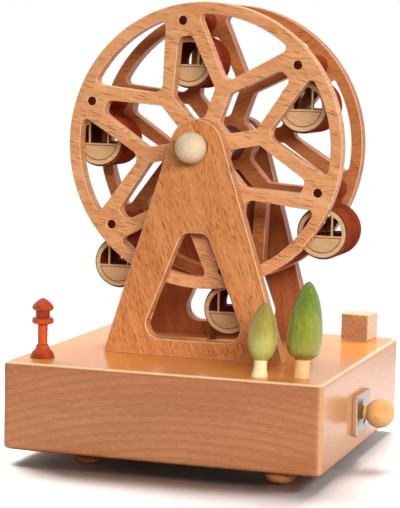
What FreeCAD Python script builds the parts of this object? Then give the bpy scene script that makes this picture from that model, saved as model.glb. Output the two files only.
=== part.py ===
import FreeCAD, Part

import math
import os

"""Crank ferris wheel toy: a hollow beech base with a drive train inside, two A-frames,
a six-gondola wheel on a dowel axle, and turned trees, a lamp and a block on top.

Millimetres.  +Z is up, the feet rest on z = 0, and the base is centred on x = y = 0.
The wheel turns about an axle along Y; its front is towards -Y; the crank knob is on +X.
"""

V = FreeCAD.Vector
X_AXIS, Y_AXIS, Z_AXIS = V(1, 0, 0), V(0, 1, 0), V(0, 0, 1)

# fits
RUN_GAP = 0.06          # radial clearance of a shaft that turns in its bore
GLUE_GAP = 0.02         # radial clearance of a glued or pressed joint
SIDE_PLAY = 0.3         # end play between a turning face and a fixed one

# base
BASE_W = 120.0
BASE_D = 120.0
BASE_H = 32.4
BASE_EDGE_R = 1.6
BASE_CORNER_R = 2.6
BASE_WALL = 12.0
BASE_TOP_T = 6.0
COVER_T = 3.0
COVER_LEDGE = 6.0
COVER_GAP = 0.2
COVER_CORNER_R = 4.0

# feet: inset of each centre from the nearest sides of the base
FOOT_H = 5.0
FOOT_R = 6.3
FOOT_RIM_H = 1.0
FOOT_FLAT_R = 2.6
FOOT_FRONT_LEFT = (29.0, 14.0)
FOOT_FRONT_RIGHT = (17.0, 10.0)
FOOT_REAR = (17.0, 13.0)

# A-frames
FRAME_T = 5.3
FRONT_FRAME_Y = -22.7   # front face of the front frame
REAR_FRAME_Y = 30.8     # front face of the rear frame
FRAME_FOOT_HALF = 35.4
FRAME_HEAD_R = 10.3
FRAME_EDGE_R = 0.5
UNDER_GONDOLA = 5.96    # clear height between the base and the lowest gondola
WINDOW_SILL = 6.3
WINDOW_TOP = 46.4
WINDOW_HALF_LOW = 21.0
WINDOW_HALF_HIGH = 4.84
WINDOW_R_LOW = 5.5
WINDOW_R_HIGH = 4.0
DOWEL_R = 1.5
DOWEL_X = 27.0
DOWEL_IN_FRAME = 8.0
DOWEL_IN_BASE = 5.0

# axle and its bushes
AXLE_R = 3.0
BUSH_WALL = 1.5
BUSH_FLANGE_R = 6.5
AXLE_BALL_R = 5.8
BALL_BORE_DEPTH = 7.0

# wheel
WHEEL_R = 53.3
PLATE_T = 5.4
PLATE_EDGE_R = 0.4
FRONT_PLATE_Y = -15.2   # front face of the front plate
REAR_PLATE_Y = 16.4     # front face of the rear plate
GONDOLAS = 6
PIN_INSET = 6.16        # pin circle in from the plate's edge
PIN_R = 1.6
PIN_TURN = 10.66        # degrees that the top pin stands left of upright
HUB_R = 7.0
RIM_BAND = 4.4          # wood between the rim openings and the plate's edge
# kite-shaped opening under each pin: where its corners lie, and its half-width there
KITE_TOP_INSET = 12.0   # outer end in from the plate's edge
KITE_TOP_HALF = 2.56
KITE_SHOULDER = 10.0    # widest place out from the inner end
KITE_MID_HALF = 8.28
HUB_LAND = 3.4          # wood between the hub piece and the inner end
KITE_LOW_HALF = 2.54
KITE_FILLETS = (2.4, 2.0, 2.0)
# rim opening between two pins: point nearest the axle and spread of its sides
RIM_POINT_OUT = 4.6     # point out from the kites' widest place
RIM_SPREAD = 0.92       # half-width gained per millimetre outwards
RIM_POINT_FILLET = 3.6
RIM_CORNER_FILLET = 1.8

# gondolas
DROP = 15.3             # drum centre below the pin
DRUM_R = 9.9
DRUM_PLAY = 2.7         # gap between a wheel plate's inner face and the front disc
REAR_PLAY = 1.0
DISC_T = 1.3
DISC_R = 9.4
EYE_R = 3.9
NECK_HALF = 2.2
NECK_FILLET = 0.8
CABIN_R = 7.8
SILL_DROP = 1.35
RING_W = 1.95
MULLION_X = 3.5
MULLION_W = 1.1

# belt drive behind the wheel
BELT_R = 1.0
BELT_GAP = 0.3
GROOVE_BOTTOM_R = 6.5
PULLEY_R = 9.0
PULLEY_W = 6.0
BELT_HOLE_R = 2.3

# crank, gears and shafts inside the base
CRANK_Y = -5.5
CRANK_Z = 13.8          # above the underside of the base
SHAFT_R = 2.0
GEAR_MODULE = 0.75
PINION_TEETH = 12
CROWN_TEETH = 24
GEAR_FACE = 2.0
TOOTH_SHARE = 0.38      # tooth thickness as a share of the pitch
ADDENDUM = 0.8          # in modules
DEDENDUM = 1.0          # in modules
FLANK_DEG = 20.0
CROWN_WEB_T = 3.2
GEAR_HUB_R = 4.0
BLOCK_T = 6.0
BLOCK_HALF_W = 9.0
BLOCK_DROP = 6.5        # block material below the shaft axis
CRANK_BLOCK_X = 15.0
CROSS_BLOCK_1_Y = 7.5
SHAFT_TAIL = 1.5
CRANK_PLATE_W = 20.5
CRANK_PLATE_H = 15.2
CRANK_PLATE_PROUD = 1.9
CRANK_PLATE_R = 1.2
CRANK_PLATE_EDGE_R = 0.4
CRANK_BUSH_WALL = 1.0
TACK_R = 0.7            # small round-headed screws of the crank plate
TACK_L = 6.0
TACK_HEAD_R = 1.25
TACK_HEAD_H = 0.6
TACK_Y = 2.5            # either side of the shaft
TACK_Z = 4.1
KNOB_R = 5.4
KNOB_NECK_R = 2.7
KNOB_CENTRE_OUT = 8.1   # ball centre beyond the side of the base
KNOB_BORE_DEPTH = 6.0

# screws
COVER_SCREW_R = 1.4
COVER_SCREW_HEAD_R = 2.9
COVER_SCREW_HEAD_H = 1.7
COVER_SCREW_L = 12.0
BLOCK_SCREW_R = 1.2
BLOCK_SCREW_HEAD_R = 2.3
BLOCK_SCREW_HEAD_H = 1.5
BLOCK_SCREW_BITE = 4.0
BLOCK_SCREW_OUT = 6.0   # from the shaft axis
SLOT_W = 0.6
SLOT_DEPTH = 0.7

# pieces on top of the base; each inset is from the nearest sides of the base
PEG_R = 1.5
PEG_L = 4.5
LAMP_INSET = (9.5, 14.7)
LAMP_H = 22.1
LAMP_FOOT_R = 4.5
LAMP_FOOT_H = 5.0
LAMP_ANKLE_R = 2.3
LAMP_POST_R = 1.8
LAMP_COLLAR_R = 3.9
LAMP_COLLAR_Z = 12.4
LAMP_COLLAR_H = 2.7
LAMP_NECK_R = 2.6
LAMP_CAP_R = 4.0
LAMP_CAP_Z = 17.3
LAMP_FOOT_SHAPE = [(1.0, 0.06), (0.86, 0.26), (0.66, 0.44), (0.32, 0.6), (0.07, 0.78), (0.0, 0.94)]
LAMP_CAP_SHAPE = [(1.0, 0.21), (0.91, 0.42), (0.7, 0.63), (0.33, 0.88), (0.0, 1.0)]
TREE_LEAN = 3.5         # degrees
TREE_LEAN_TOWARDS = 18.0
SMALL_TREE_INSET = (25.5, 9.6)
SMALL_TRUNK_H = 5.9
SMALL_TRUNK_R = 2.4
SMALL_TRUNK_FOOT_R = 2.95
SMALL_CROWN_R = 5.1
SMALL_CROWN_H = 20.2
SMALL_CROWN_SHAPE = [(0.6, 0.03), (0.77, 0.084), (0.93, 0.19), (1.0, 0.37), (0.94, 0.56),
                     (0.78, 0.73), (0.5, 0.88), (0.25, 0.966)]
TALL_TREE_INSET = (11.5, 13.9)
TALL_TRUNK_H = 6.4
TALL_TRUNK_R = 2.7
TALL_TRUNK_FOOT_R = 2.85
TALL_CROWN_R = 6.3
TALL_CROWN_H = 27.6
TALL_CROWN_SHAPE = [(0.56, 0.02), (0.77, 0.054), (0.94, 0.125), (1.0, 0.26), (0.95, 0.43),
                    (0.83, 0.62), (0.61, 0.8), (0.33, 0.93), (0.17, 0.978)]
CROWN_PEG_L = 5.0
BLOCK_INSET = (14.4, 7.4)
BLOCK_SIDE = 11.2
BLOCK_H = 10.4
BLOCK_YAW = -8.5
BLOCK_EDGE_R = 0.5

# levels and places that follow from the sizes above
BASE_Z = FOOT_H
TOP_Z = BASE_Z + BASE_H
PIN_CIRCLE_R = WHEEL_R - PIN_INSET
RIM_INNER_R = WHEEL_R - RIM_BAND
KITE_TOP_R = WHEEL_R - KITE_TOP_INSET
KITE_LOW_R = HUB_R + HUB_LAND
KITE_MID_R = KITE_LOW_R + KITE_SHOULDER
RIM_POINT_R = KITE_MID_R + RIM_POINT_OUT
AXLE_HEIGHT = PIN_CIRCLE_R + DROP + DRUM_R + UNDER_GONDOLA
COVER_Z = BASE_Z + COVER_T
CEILING_Z = TOP_Z - BASE_TOP_T
AXLE_Z = TOP_Z + AXLE_HEIGHT
SHAFT_Z = BASE_Z + CRANK_Z
SIDE_X = BASE_W / 2
SIDE_Y = BASE_D / 2
LAMP_XY = (-SIDE_X + LAMP_INSET[0], -SIDE_Y + LAMP_INSET[1])
SMALL_TREE_XY = (SIDE_X - SMALL_TREE_INSET[0], -SIDE_Y + SMALL_TREE_INSET[1])
TALL_TREE_XY = (SIDE_X - TALL_TREE_INSET[0], -SIDE_Y + TALL_TREE_INSET[1])
BLOCK_XY = (SIDE_X - BLOCK_INSET[0], SIDE_Y - BLOCK_INSET[1])
FEET_XY = [(-SIDE_X + FOOT_FRONT_LEFT[0], -SIDE_Y + FOOT_FRONT_LEFT[1]),
           (SIDE_X - FOOT_FRONT_RIGHT[0], -SIDE_Y + FOOT_FRONT_RIGHT[1]),
           (SIDE_X - FOOT_REAR[0], SIDE_Y - FOOT_REAR[1]),
           (-SIDE_X + FOOT_REAR[0], SIDE_Y - FOOT_REAR[1])]
CAVITY_X = BASE_W / 2 - BASE_WALL
CAVITY_Y = BASE_D / 2 - BASE_WALL
FRONT_PLATE_BACK = FRONT_PLATE_Y + PLATE_T
REAR_PLATE_BACK = REAR_PLATE_Y + PLATE_T
FRONT_FRAME_BACK = FRONT_FRAME_Y + FRAME_T
REAR_FRAME_BACK = REAR_FRAME_Y + FRAME_T
BELT_Y = (REAR_PLATE_BACK + REAR_FRAME_Y) / 2
CROSS_BLOCK_2_Y = BELT_Y + PULLEY_W / 2 + SIDE_PLAY
BELT_LOOP_R = GROOVE_BOTTOM_R + BELT_R + BELT_GAP
GROOVE_TUBE_R = BELT_R + BELT_GAP
DRUM_FRONT_Y = FRONT_PLATE_BACK + DRUM_PLAY + DISC_T
DRUM_BACK_Y = REAR_PLATE_Y - REAR_PLAY - DISC_T
PITCH_CROWN_R = GEAR_MODULE * CROWN_TEETH / 2
PITCH_PINION_R = GEAR_MODULE * PINION_TEETH / 2
PITCH_Y = CRANK_Y + PITCH_PINION_R
CROWN_FACE_Y = PITCH_Y + DEDENDUM * GEAR_MODULE
GEAR_PITCH = math.pi * GEAR_MODULE
PINION_HUB_L = CRANK_BLOCK_X - SIDE_PLAY - PITCH_CROWN_R - GEAR_FACE / 2
CROWN_HUB_L = CROSS_BLOCK_1_Y - SIDE_PLAY - CROWN_FACE_Y - CROWN_WEB_T


# ---------------------------------------------------------------- helpers

def save(node, shape):
    shape.exportStep(os.path.join("parts", node + ".step"))


def box(x0, x1, y0, y1, z0, z1):
    return Part.makeBox(x1 - x0, y1 - y0, z1 - z0, V(x0, y0, z0))


def rod(radius, start, axis, length):
    return Part.makeCylinder(radius, length, start, axis)


def rounded_wire(points, radii):
    """Closed wire through corner points, each corner rounded by a tangent arc of its radius."""
    edges = []
    starts, ends, mids = [], [], []
    count = len(points)
    for i, corner in enumerate(points):
        to_last = (points[i - 1] - corner).normalize()
        to_next = (points[(i + 1) % count] - corner).normalize()
        half = to_last.getAngle(to_next) / 2
        reach = radii[i] / math.tan(half)
        bisector = (to_last + to_next).normalize()
        centre = corner + bisector * (radii[i] / math.sin(half))
        starts.append(corner + to_last * reach)
        ends.append(corner + to_next * reach)
        mids.append(centre - bisector * radii[i])
    for i in range(count):
        if radii[i] > 0:
            edges.append(Part.Arc(starts[i], mids[i], ends[i]).toShape())
        edges.append(Part.makeLine(ends[i], starts[(i + 1) % count]))
    return Part.Wire(edges)


def prism(points, radii, direction):
    """Solid from a rounded outline, pushed along direction."""
    return Part.Face(rounded_wire(points, radii)).extrude(direction)


def turned(profile, centre):
    """Solid of revolution about Z from edges given in the XZ plane, placed at centre."""
    solid = Part.Face(Part.Wire(profile)).revolve(V(0, 0, 0), Z_AXIS, 360)
    solid.translate(centre)
    return solid


def line(a, b):
    return Part.makeLine(V(a[0], 0, a[1]), V(b[0], 0, b[1]))


def spline(points):
    curve = Part.BSplineCurve()
    curve.interpolate([V(r, 0, z) for r, z in points])
    return curve.toShape()


def arc(a, mid, b):
    return Part.Arc(V(a[0], 0, a[1]), V(mid[0], 0, mid[1]), V(b[0], 0, b[1])).toShape()


def one_solid(shape):
    return shape.removeSplitter().Solids[0]


def ring(outer, inner, start, axis, length):
    return rod(outer, start, axis, length).cut(rod(inner, start, axis, length))


def pin_angle(index):
    """Angle of a pin about the axle in the XZ plane, from +X."""
    return math.radians(90 + PIN_TURN + index * 360 / GONDOLAS)


def pin_centre(index, y):
    angle = pin_angle(index)
    return V(PIN_CIRCLE_R * math.cos(angle), y, AXLE_Z + PIN_CIRCLE_R * math.sin(angle))


def wheel_point(angle, outward, sideways, y):
    """Point on the wheel: outward along the spoke direction, sideways square to it."""
    return V(outward * math.cos(angle) - sideways * math.sin(angle), y,
             AXLE_Z + outward * math.sin(angle) + sideways * math.cos(angle))


# ---------------------------------------------------------------- base

def base_pegs():
    """Centres of the glued pegs that stand in the base top, with their radii and depths."""
    pegs = [(xy, PEG_R, PEG_L) for xy in (LAMP_XY, SMALL_TREE_XY, TALL_TREE_XY)]
    for y in (FRONT_FRAME_Y + FRAME_T / 2, REAR_FRAME_Y + FRAME_T / 2):
        for x in (-DOWEL_X, DOWEL_X):
            pegs.append(((x, y), DOWEL_R, DOWEL_IN_BASE))
    return pegs


def cover_screw_xy():
    out_x = CAVITY_X + COVER_LEDGE / 2
    out_y = CAVITY_Y + COVER_LEDGE / 2
    return [(out_x, 0), (-out_x, 0), (0, out_y), (0, -out_y)]


def tack_yz():
    """The crank plate's two screws stand at opposite corners of the shaft."""
    return [(CRANK_Y - side * TACK_Y, SHAFT_Z + side * TACK_Z) for side in (-1, 1)]


def block_screw_xy():
    """Screws of the three bearing blocks, two each."""
    crank_x = CRANK_BLOCK_X + BLOCK_T / 2
    spots = [(crank_x, CRANK_Y + side * BLOCK_SCREW_OUT) for side in (-1, 1)]
    for y in (CROSS_BLOCK_1_Y, CROSS_BLOCK_2_Y):
        spots += [(side * BLOCK_SCREW_OUT, y + BLOCK_T / 2) for side in (-1, 1)]
    return spots


def base_body():
    body = box(-BASE_W / 2, BASE_W / 2, -BASE_D / 2, BASE_D / 2, BASE_Z, TOP_Z)
    upright = [e for e in body.Edges if abs(e.tangentAt(0).z) > 0.9]
    body = body.makeFillet(BASE_CORNER_R, upright)
    level = [e for e in body.Edges if abs(e.Vertexes[0].Z - e.Vertexes[-1].Z) < 0.01]
    body = body.makeFillet(BASE_EDGE_R, level)
    body = body.cut(box(-CAVITY_X, CAVITY_X, -CAVITY_Y, CAVITY_Y, BASE_Z, CEILING_Z))
    ledge_x, ledge_y = CAVITY_X + COVER_LEDGE, CAVITY_Y + COVER_LEDGE
    recess = box(-ledge_x, ledge_x, -ledge_y, ledge_y, BASE_Z, COVER_Z)
    body = body.cut(recess.makeFillet(COVER_CORNER_R, upright_edges(recess)))
    cuts = [rod(r + GLUE_GAP, V(x, y, TOP_Z - depth), Z_AXIS, depth + 1)
            for (x, y), r, depth in base_pegs()]
    for x in (-BELT_LOOP_R, BELT_LOOP_R):
        cuts.append(rod(BELT_HOLE_R, V(x, BELT_Y, CEILING_Z - 1), Z_AXIS, BASE_TOP_T + 2))
    cuts.append(rod(SHAFT_R + CRANK_BUSH_WALL + GLUE_GAP, V(CAVITY_X - 1, CRANK_Y, SHAFT_Z),
                    X_AXIS, BASE_WALL + 2))
    for y, z in tack_yz():
        cuts.append(rod(TACK_R + GLUE_GAP, V(SIDE_X - TACK_L, y, z), X_AXIS, TACK_L + 1))
    for x, y in cover_screw_xy():
        cuts.append(rod(COVER_SCREW_R + GLUE_GAP, V(x, y, BASE_Z), Z_AXIS, COVER_SCREW_L))
    for x, y in block_screw_xy():
        cuts.append(rod(BLOCK_SCREW_R + GLUE_GAP, V(x, y, CEILING_Z - 1), Z_AXIS,
                        BLOCK_SCREW_BITE + 1))
    return body.cut(cuts)


def upright_edges(shape):
    return [e for e in shape.Edges if abs(e.tangentAt(e.FirstParameter).z) > 0.9]


def bottom_cover():
    half_x = CAVITY_X + COVER_LEDGE - COVER_GAP
    half_y = CAVITY_Y + COVER_LEDGE - COVER_GAP
    plate = box(-half_x, half_x, -half_y, half_y, BASE_Z, COVER_Z)
    plate = plate.makeFillet(COVER_CORNER_R - COVER_GAP, upright_edges(plate))
    cuts = []
    for x, y in cover_screw_xy():
        cuts.append(rod(COVER_SCREW_R + GLUE_GAP, V(x, y, BASE_Z), Z_AXIS, COVER_T))
        cuts.append(Part.makeCone(COVER_SCREW_HEAD_R + GLUE_GAP, COVER_SCREW_R + GLUE_GAP,
                                  COVER_SCREW_HEAD_H, V(x, y, BASE_Z)))
    return plate.cut(cuts)


def cover_screw(x, y):
    shank = rod(COVER_SCREW_R, V(x, y, BASE_Z), Z_AXIS, COVER_SCREW_L)
    head = Part.makeCone(COVER_SCREW_HEAD_R, COVER_SCREW_R, COVER_SCREW_HEAD_H, V(x, y, BASE_Z))
    slot = box(x - COVER_SCREW_HEAD_R, x + COVER_SCREW_HEAD_R, y - SLOT_W / 2, y + SLOT_W / 2,
               BASE_Z, BASE_Z + SLOT_DEPTH)
    return shank.fuse(head).cut(slot)


def foot(x, y):
    """Low turned dome with a small flat to stand on."""
    shoulder = (FOOT_R, FOOT_H - FOOT_RIM_H)
    waist = (FOOT_R * 0.86, FOOT_H * 0.34)
    profile = [line((0, FOOT_H), (FOOT_R, FOOT_H)), line((FOOT_R, FOOT_H), shoulder),
               arc(shoulder, waist, (FOOT_FLAT_R, 0)), line((FOOT_FLAT_R, 0), (0, 0)),
               line((0, 0), (0, FOOT_H))]
    return turned(profile, V(x, y, 0))


# ---------------------------------------------------------------- A-frames

def a_frame(y):
    """Tapering plate whose straight sides run tangent into a round head about the axle."""
    reach = math.hypot(FRAME_FOOT_HALF, AXLE_HEIGHT)
    open_angle = math.acos(FRAME_HEAD_R / reach)
    touch = math.atan2(-AXLE_HEIGHT, FRAME_FOOT_HALF) + open_angle
    right = V(FRAME_HEAD_R * math.cos(touch), y, AXLE_Z + FRAME_HEAD_R * math.sin(touch))
    left = V(-right.x, y, right.z)
    crown = V(0, y, AXLE_Z + FRAME_HEAD_R)
    foot_right, foot_left = V(FRAME_FOOT_HALF, y, TOP_Z), V(-FRAME_FOOT_HALF, y, TOP_Z)
    outline = Part.Wire([Part.makeLine(foot_right, right), Part.Arc(right, crown, left).toShape(),
                         Part.makeLine(left, foot_left), Part.makeLine(foot_left, foot_right)])
    frame = Part.Face(outline).extrude(V(0, FRAME_T, 0))
    window = [V(-WINDOW_HALF_LOW, y - 1, TOP_Z + WINDOW_SILL),
              V(WINDOW_HALF_LOW, y - 1, TOP_Z + WINDOW_SILL),
              V(WINDOW_HALF_HIGH, y - 1, TOP_Z + WINDOW_TOP),
              V(-WINDOW_HALF_HIGH, y - 1, TOP_Z + WINDOW_TOP)]
    radii = [WINDOW_R_LOW, WINDOW_R_LOW, WINDOW_R_HIGH, WINDOW_R_HIGH]
    cuts = [prism(window, radii, V(0, FRAME_T + 2, 0)),
            rod(AXLE_R + BUSH_WALL + GLUE_GAP, V(0, y - 1, AXLE_Z), Y_AXIS, FRAME_T + 2)]
    frame = frame.cut(cuts[:1])
    rounded = [e for e in frame.Edges if on_face(e, y, y + FRAME_T)
               and e.BoundBox.ZMax > TOP_Z + 1]
    frame = frame.makeFillet(FRAME_EDGE_R, rounded)
    for x in (-DOWEL_X, DOWEL_X):
        cuts.append(rod(DOWEL_R + GLUE_GAP, V(x, y + FRAME_T / 2, TOP_Z), Z_AXIS, DOWEL_IN_FRAME))
    return frame.cut(cuts[1:])


def on_face(edge, *levels):
    """True if the whole edge lies in one of the planes y = level."""
    low, high = edge.BoundBox.YMin, edge.BoundBox.YMax
    return any(abs(low - y) < 0.01 and abs(high - y) < 0.01 for y in levels)


def frame_dowels():
    solids = []
    for y in (FRONT_FRAME_Y, REAR_FRAME_Y):
        for x in (-DOWEL_X, DOWEL_X):
            start = V(x, y + FRAME_T / 2, TOP_Z - DOWEL_IN_BASE)
            solids.append(rod(DOWEL_R, start, Z_AXIS, DOWEL_IN_BASE + DOWEL_IN_FRAME))
    return Part.makeCompound(solids)


def bush(outer_y, inner_y, flange_end):
    """Sleeve through a frame, with a flange on the wheel's side that keeps the wheel off it."""
    low, high = min(outer_y, flange_end), max(outer_y, flange_end)
    sleeve = rod(AXLE_R + BUSH_WALL, V(0, low, AXLE_Z), Y_AXIS, high - low)
    flange_low = min(inner_y, flange_end)
    flange = rod(BUSH_FLANGE_R, V(0, flange_low, AXLE_Z), Y_AXIS, abs(flange_end - inner_y))
    bore = rod(AXLE_R + RUN_GAP, V(0, low - 1, AXLE_Z), Y_AXIS, high - low + 2)
    return one_solid(sleeve.fuse(flange).cut(bore))


# ---------------------------------------------------------------- wheel

def kite_cut(index, y):
    angle = pin_angle(index)
    half = [(KITE_TOP_R, KITE_TOP_HALF), (KITE_MID_R, KITE_MID_HALF), (KITE_LOW_R, KITE_LOW_HALF)]
    corners = half + [(r, -w) for r, w in reversed(half)]
    radii = list(KITE_FILLETS) + list(reversed(KITE_FILLETS))
    points = [wheel_point(angle, r, w, y - 1) for r, w in corners]
    return prism(points, radii, V(0, PLATE_T + 2, 0))


def rim_cut(index, y):
    """Three-sided opening: two straight sides from a rounded point, and the rim's inner arc."""
    angle = pin_angle(index) - math.pi / GONDOLAS
    far = WHEEL_R
    spread = (far - RIM_POINT_R) * RIM_SPREAD
    points = [wheel_point(angle, RIM_POINT_R, 0, y - 1), wheel_point(angle, far, spread, y - 1),
              wheel_point(angle, far, -spread, y - 1)]
    wedge = prism(points, [RIM_POINT_FILLET, 0, 0], V(0, PLATE_T + 2, 0))
    disc = rod(RIM_INNER_R, V(0, y - 1, AXLE_Z), Y_AXIS, PLATE_T + 2)
    opening = wedge.common(disc)
    axle = V(0, 0, AXLE_Z)
    corners = [e for e in opening.Edges if abs(e.tangentAt(e.FirstParameter).y) > 0.9
               and abs(V(e.Vertexes[0].X, 0, e.Vertexes[0].Z).distanceToPoint(axle) - RIM_INNER_R)
               < 0.01]
    return opening.makeFillet(RIM_CORNER_FILLET, corners)


def wheel_plate(y):
    plate = rod(WHEEL_R, V(0, y, AXLE_Z), Y_AXIS, PLATE_T)
    windows = [kite_cut(i, y) for i in range(GONDOLAS)] + [rim_cut(i, y) for i in range(GONDOLAS)]
    plate = plate.cut(windows)
    plate = plate.makeFillet(PLATE_EDGE_R, [e for e in plate.Edges if on_face(e, y, y + PLATE_T)])
    bores = [rod(AXLE_R + GLUE_GAP, V(0, y - 1, AXLE_Z), Y_AXIS, PLATE_T + 2)]
    bores += [rod(PIN_R + GLUE_GAP, pin_centre(i, y - 1), Y_AXIS, PLATE_T + 2)
              for i in range(GONDOLAS)]
    return plate.cut(bores)


def axle_ball(centre_y, towards):
    """Turned ball with a blind bore that faces the wheel."""
    ball = Part.makeSphere(AXLE_BALL_R, V(0, centre_y, AXLE_Z))
    ends = [centre_y + towards * (AXLE_BALL_R - BALL_BORE_DEPTH),
            centre_y + towards * (AXLE_BALL_R + 1)]
    start = V(0, min(ends), AXLE_Z)
    return ball.cut(rod(AXLE_R + GLUE_GAP, start, Y_AXIS, BALL_BORE_DEPTH + 1))


def pulley(y, z):
    """Pulley about Y whose groove has a bottom as round as the belt and straight sides."""
    wheel = rod(PULLEY_R, V(0, y - PULLEY_W / 2, z), Y_AXIS, PULLEY_W)
    bottom = Part.makeTorus(BELT_LOOP_R, GROOVE_TUBE_R, V(0, y, z), Y_AXIS)
    sides = ring(PULLEY_R + 1, BELT_LOOP_R, V(0, y - GROOVE_TUBE_R, z), Y_AXIS, 2 * GROOVE_TUBE_R)
    return wheel.cut([bottom, sides])


def belt():
    loops = []
    for z, side in ((SHAFT_Z, -1), (AXLE_Z, 1)):
        half = Part.makeTorus(BELT_LOOP_R, BELT_R, V(0, BELT_Y, z), Y_AXIS)
        reach = BELT_LOOP_R + BELT_R + 1
        low, high = (z - reach, z) if side < 0 else (z, z + reach)
        loops.append(half.common(box(-reach, reach, BELT_Y - reach, BELT_Y + reach, low, high)))
    runs = [rod(BELT_R, V(x, BELT_Y, SHAFT_Z), Z_AXIS, AXLE_Z - SHAFT_Z)
            for x in (-BELT_LOOP_R, BELT_LOOP_R)]
    return one_solid(loops[0].fuse([loops[1]] + runs))


# ---------------------------------------------------------------- gondolas

def cabin_cut(centre, y0, y1, radius):
    """Space above the sill inside a circle of the given radius."""
    tube = rod(radius, V(centre.x, y0, centre.z), Y_AXIS, y1 - y0)
    above = box(centre.x - radius, centre.x + radius, y0, y1, centre.z - SILL_DROP,
                centre.z + radius)
    return tube.common(above)


def gondola_body(index):
    """Keyhole-shaped block: an eye on the pin, a short neck and a drum with a cabin through it."""
    pin = pin_centre(index, DRUM_FRONT_Y)
    centre = pin - V(0, 0, DROP)
    length = DRUM_BACK_Y - DRUM_FRONT_Y
    eye = rod(EYE_R, pin, Y_AXIS, length)
    drum = rod(DRUM_R, centre, Y_AXIS, length)
    neck = box(pin.x - NECK_HALF, pin.x + NECK_HALF, DRUM_FRONT_Y, DRUM_BACK_Y,
               centre.z + DRUM_R / 2, pin.z)
    body = eye.fuse([drum, neck]).removeSplitter()
    inner = [e for e in body.Edges if abs(e.tangentAt(e.FirstParameter).y) > 0.9
             and abs(abs(e.Vertexes[0].X - pin.x) - NECK_HALF) < 0.01]
    body = body.makeFillet(NECK_FILLET, inner)
    cabin = cabin_cut(centre, DRUM_FRONT_Y - 1, DRUM_BACK_Y + 1, CABIN_R)
    bore = rod(PIN_R + RUN_GAP, pin - V(0, 1, 0), Y_AXIS, length + 2)
    return one_solid(body.cut([cabin, bore]))


def gondola_face(index, y):
    """Thin disc with a sill, a closed lower half and two upright window bars."""
    centre = pin_centre(index, y) - V(0, 0, DROP)
    disc = rod(DISC_R, centre, Y_AXIS, DISC_T)
    window = cabin_cut(centre, y - 1, y + DISC_T + 1, DISC_R - RING_W)
    bars = [box(centre.x + side * MULLION_X - MULLION_W / 2,
                centre.x + side * MULLION_X + MULLION_W / 2,
                y - 1, y + DISC_T + 1, centre.z - DISC_R, centre.z + DISC_R)
            for side in (-1, 1)]
    return disc.cut(window.cut(bars))


# ---------------------------------------------------------------- crank and gears

def tooth_outline(root, tip, thickness_at_pitch, pitch):
    """Half-widths of a straight-flanked tooth at its root and tip."""
    slope = math.tan(math.radians(FLANK_DEG))
    half = thickness_at_pitch / 2
    return half + (pitch - root) * slope, half - (tip - pitch) * slope


def pinion():
    """Spur pinion on the crank shaft; one tooth points at the crown gear."""
    x0 = PITCH_CROWN_R - GEAR_FACE / 2
    root_r = PITCH_PINION_R - DEDENDUM * GEAR_MODULE
    tip_r = PITCH_PINION_R + ADDENDUM * GEAR_MODULE
    thick = TOOTH_SHARE * GEAR_PITCH
    root_half, tip_half = tooth_outline(root_r, tip_r, thick, PITCH_PINION_R)
    inner = root_r * 0.9
    points = [V(x0, inner, -root_half), V(x0, root_r, -root_half), V(x0, tip_r, -tip_half),
              V(x0, tip_r, tip_half), V(x0, root_r, root_half), V(x0, inner, root_half)]
    tooth = Part.Face(Part.makePolygon(points + points[:1])).extrude(V(GEAR_FACE, 0, 0))
    teeth = []
    for i in range(PINION_TEETH):
        copy = tooth.copy()
        copy.rotate(V(0, 0, 0), X_AXIS, i * 360 / PINION_TEETH)
        teeth.append(copy)
    body = rod(root_r, V(x0, 0, 0), X_AXIS, GEAR_FACE).fuse(teeth)
    body = body.fuse(rod(root_r, V(x0 + GEAR_FACE, 0, 0), X_AXIS, PINION_HUB_L))
    body.translate(V(0, CRANK_Y, SHAFT_Z))
    bore = rod(SHAFT_R + GLUE_GAP, V(x0 - 1, CRANK_Y, SHAFT_Z), X_AXIS, CRANK_BLOCK_X - x0 + 1)
    return one_solid(body.cut(bore))


def crown_gear():
    """Face gear about Y: straight radial teeth stand on its front face towards the pinion."""
    outer = PITCH_CROWN_R + GEAR_FACE / 2
    inner = PITCH_CROWN_R - GEAR_FACE / 2
    tip_y = PITCH_Y - ADDENDUM * GEAR_MODULE
    thick = TOOTH_SHARE * GEAR_PITCH
    root_half, tip_half = tooth_outline(0, PITCH_Y - tip_y, thick, 0)
    root_half += (CROWN_FACE_Y - PITCH_Y) * math.tan(math.radians(FLANK_DEG))
    deep = CROWN_FACE_Y + CROWN_WEB_T / 4
    points = [V(inner, tip_y, -tip_half), V(inner, tip_y, tip_half),
              V(inner, CROWN_FACE_Y, root_half), V(inner, deep, root_half),
              V(inner, deep, -root_half), V(inner, CROWN_FACE_Y, -root_half)]
    tooth = Part.Face(Part.makePolygon(points + points[:1])).extrude(V(GEAR_FACE, 0, 0))
    teeth = []
    for i in range(CROWN_TEETH):
        copy = tooth.copy()
        copy.rotate(V(0, 0, 0), Y_AXIS, (i + 0.5) * 360 / CROWN_TEETH)
        teeth.append(copy)
    web = rod(outer, V(0, CROWN_FACE_Y, 0), Y_AXIS, CROWN_WEB_T)
    hub = rod(GEAR_HUB_R, V(0, CROWN_FACE_Y + CROWN_WEB_T, 0), Y_AXIS, CROWN_HUB_L)
    envelope = rod(outer, V(0, tip_y - 1, 0), Y_AXIS, CROWN_FACE_Y - tip_y + 2)
    body = web.fuse([tooth.common(envelope) for tooth in teeth] + [hub])
    body.translate(V(0, 0, SHAFT_Z))
    bore = rod(SHAFT_R + GLUE_GAP, V(0, tip_y - 1, SHAFT_Z), Y_AXIS, CROSS_BLOCK_1_Y - tip_y + 1)
    return one_solid(body.cut(bore))


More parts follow.
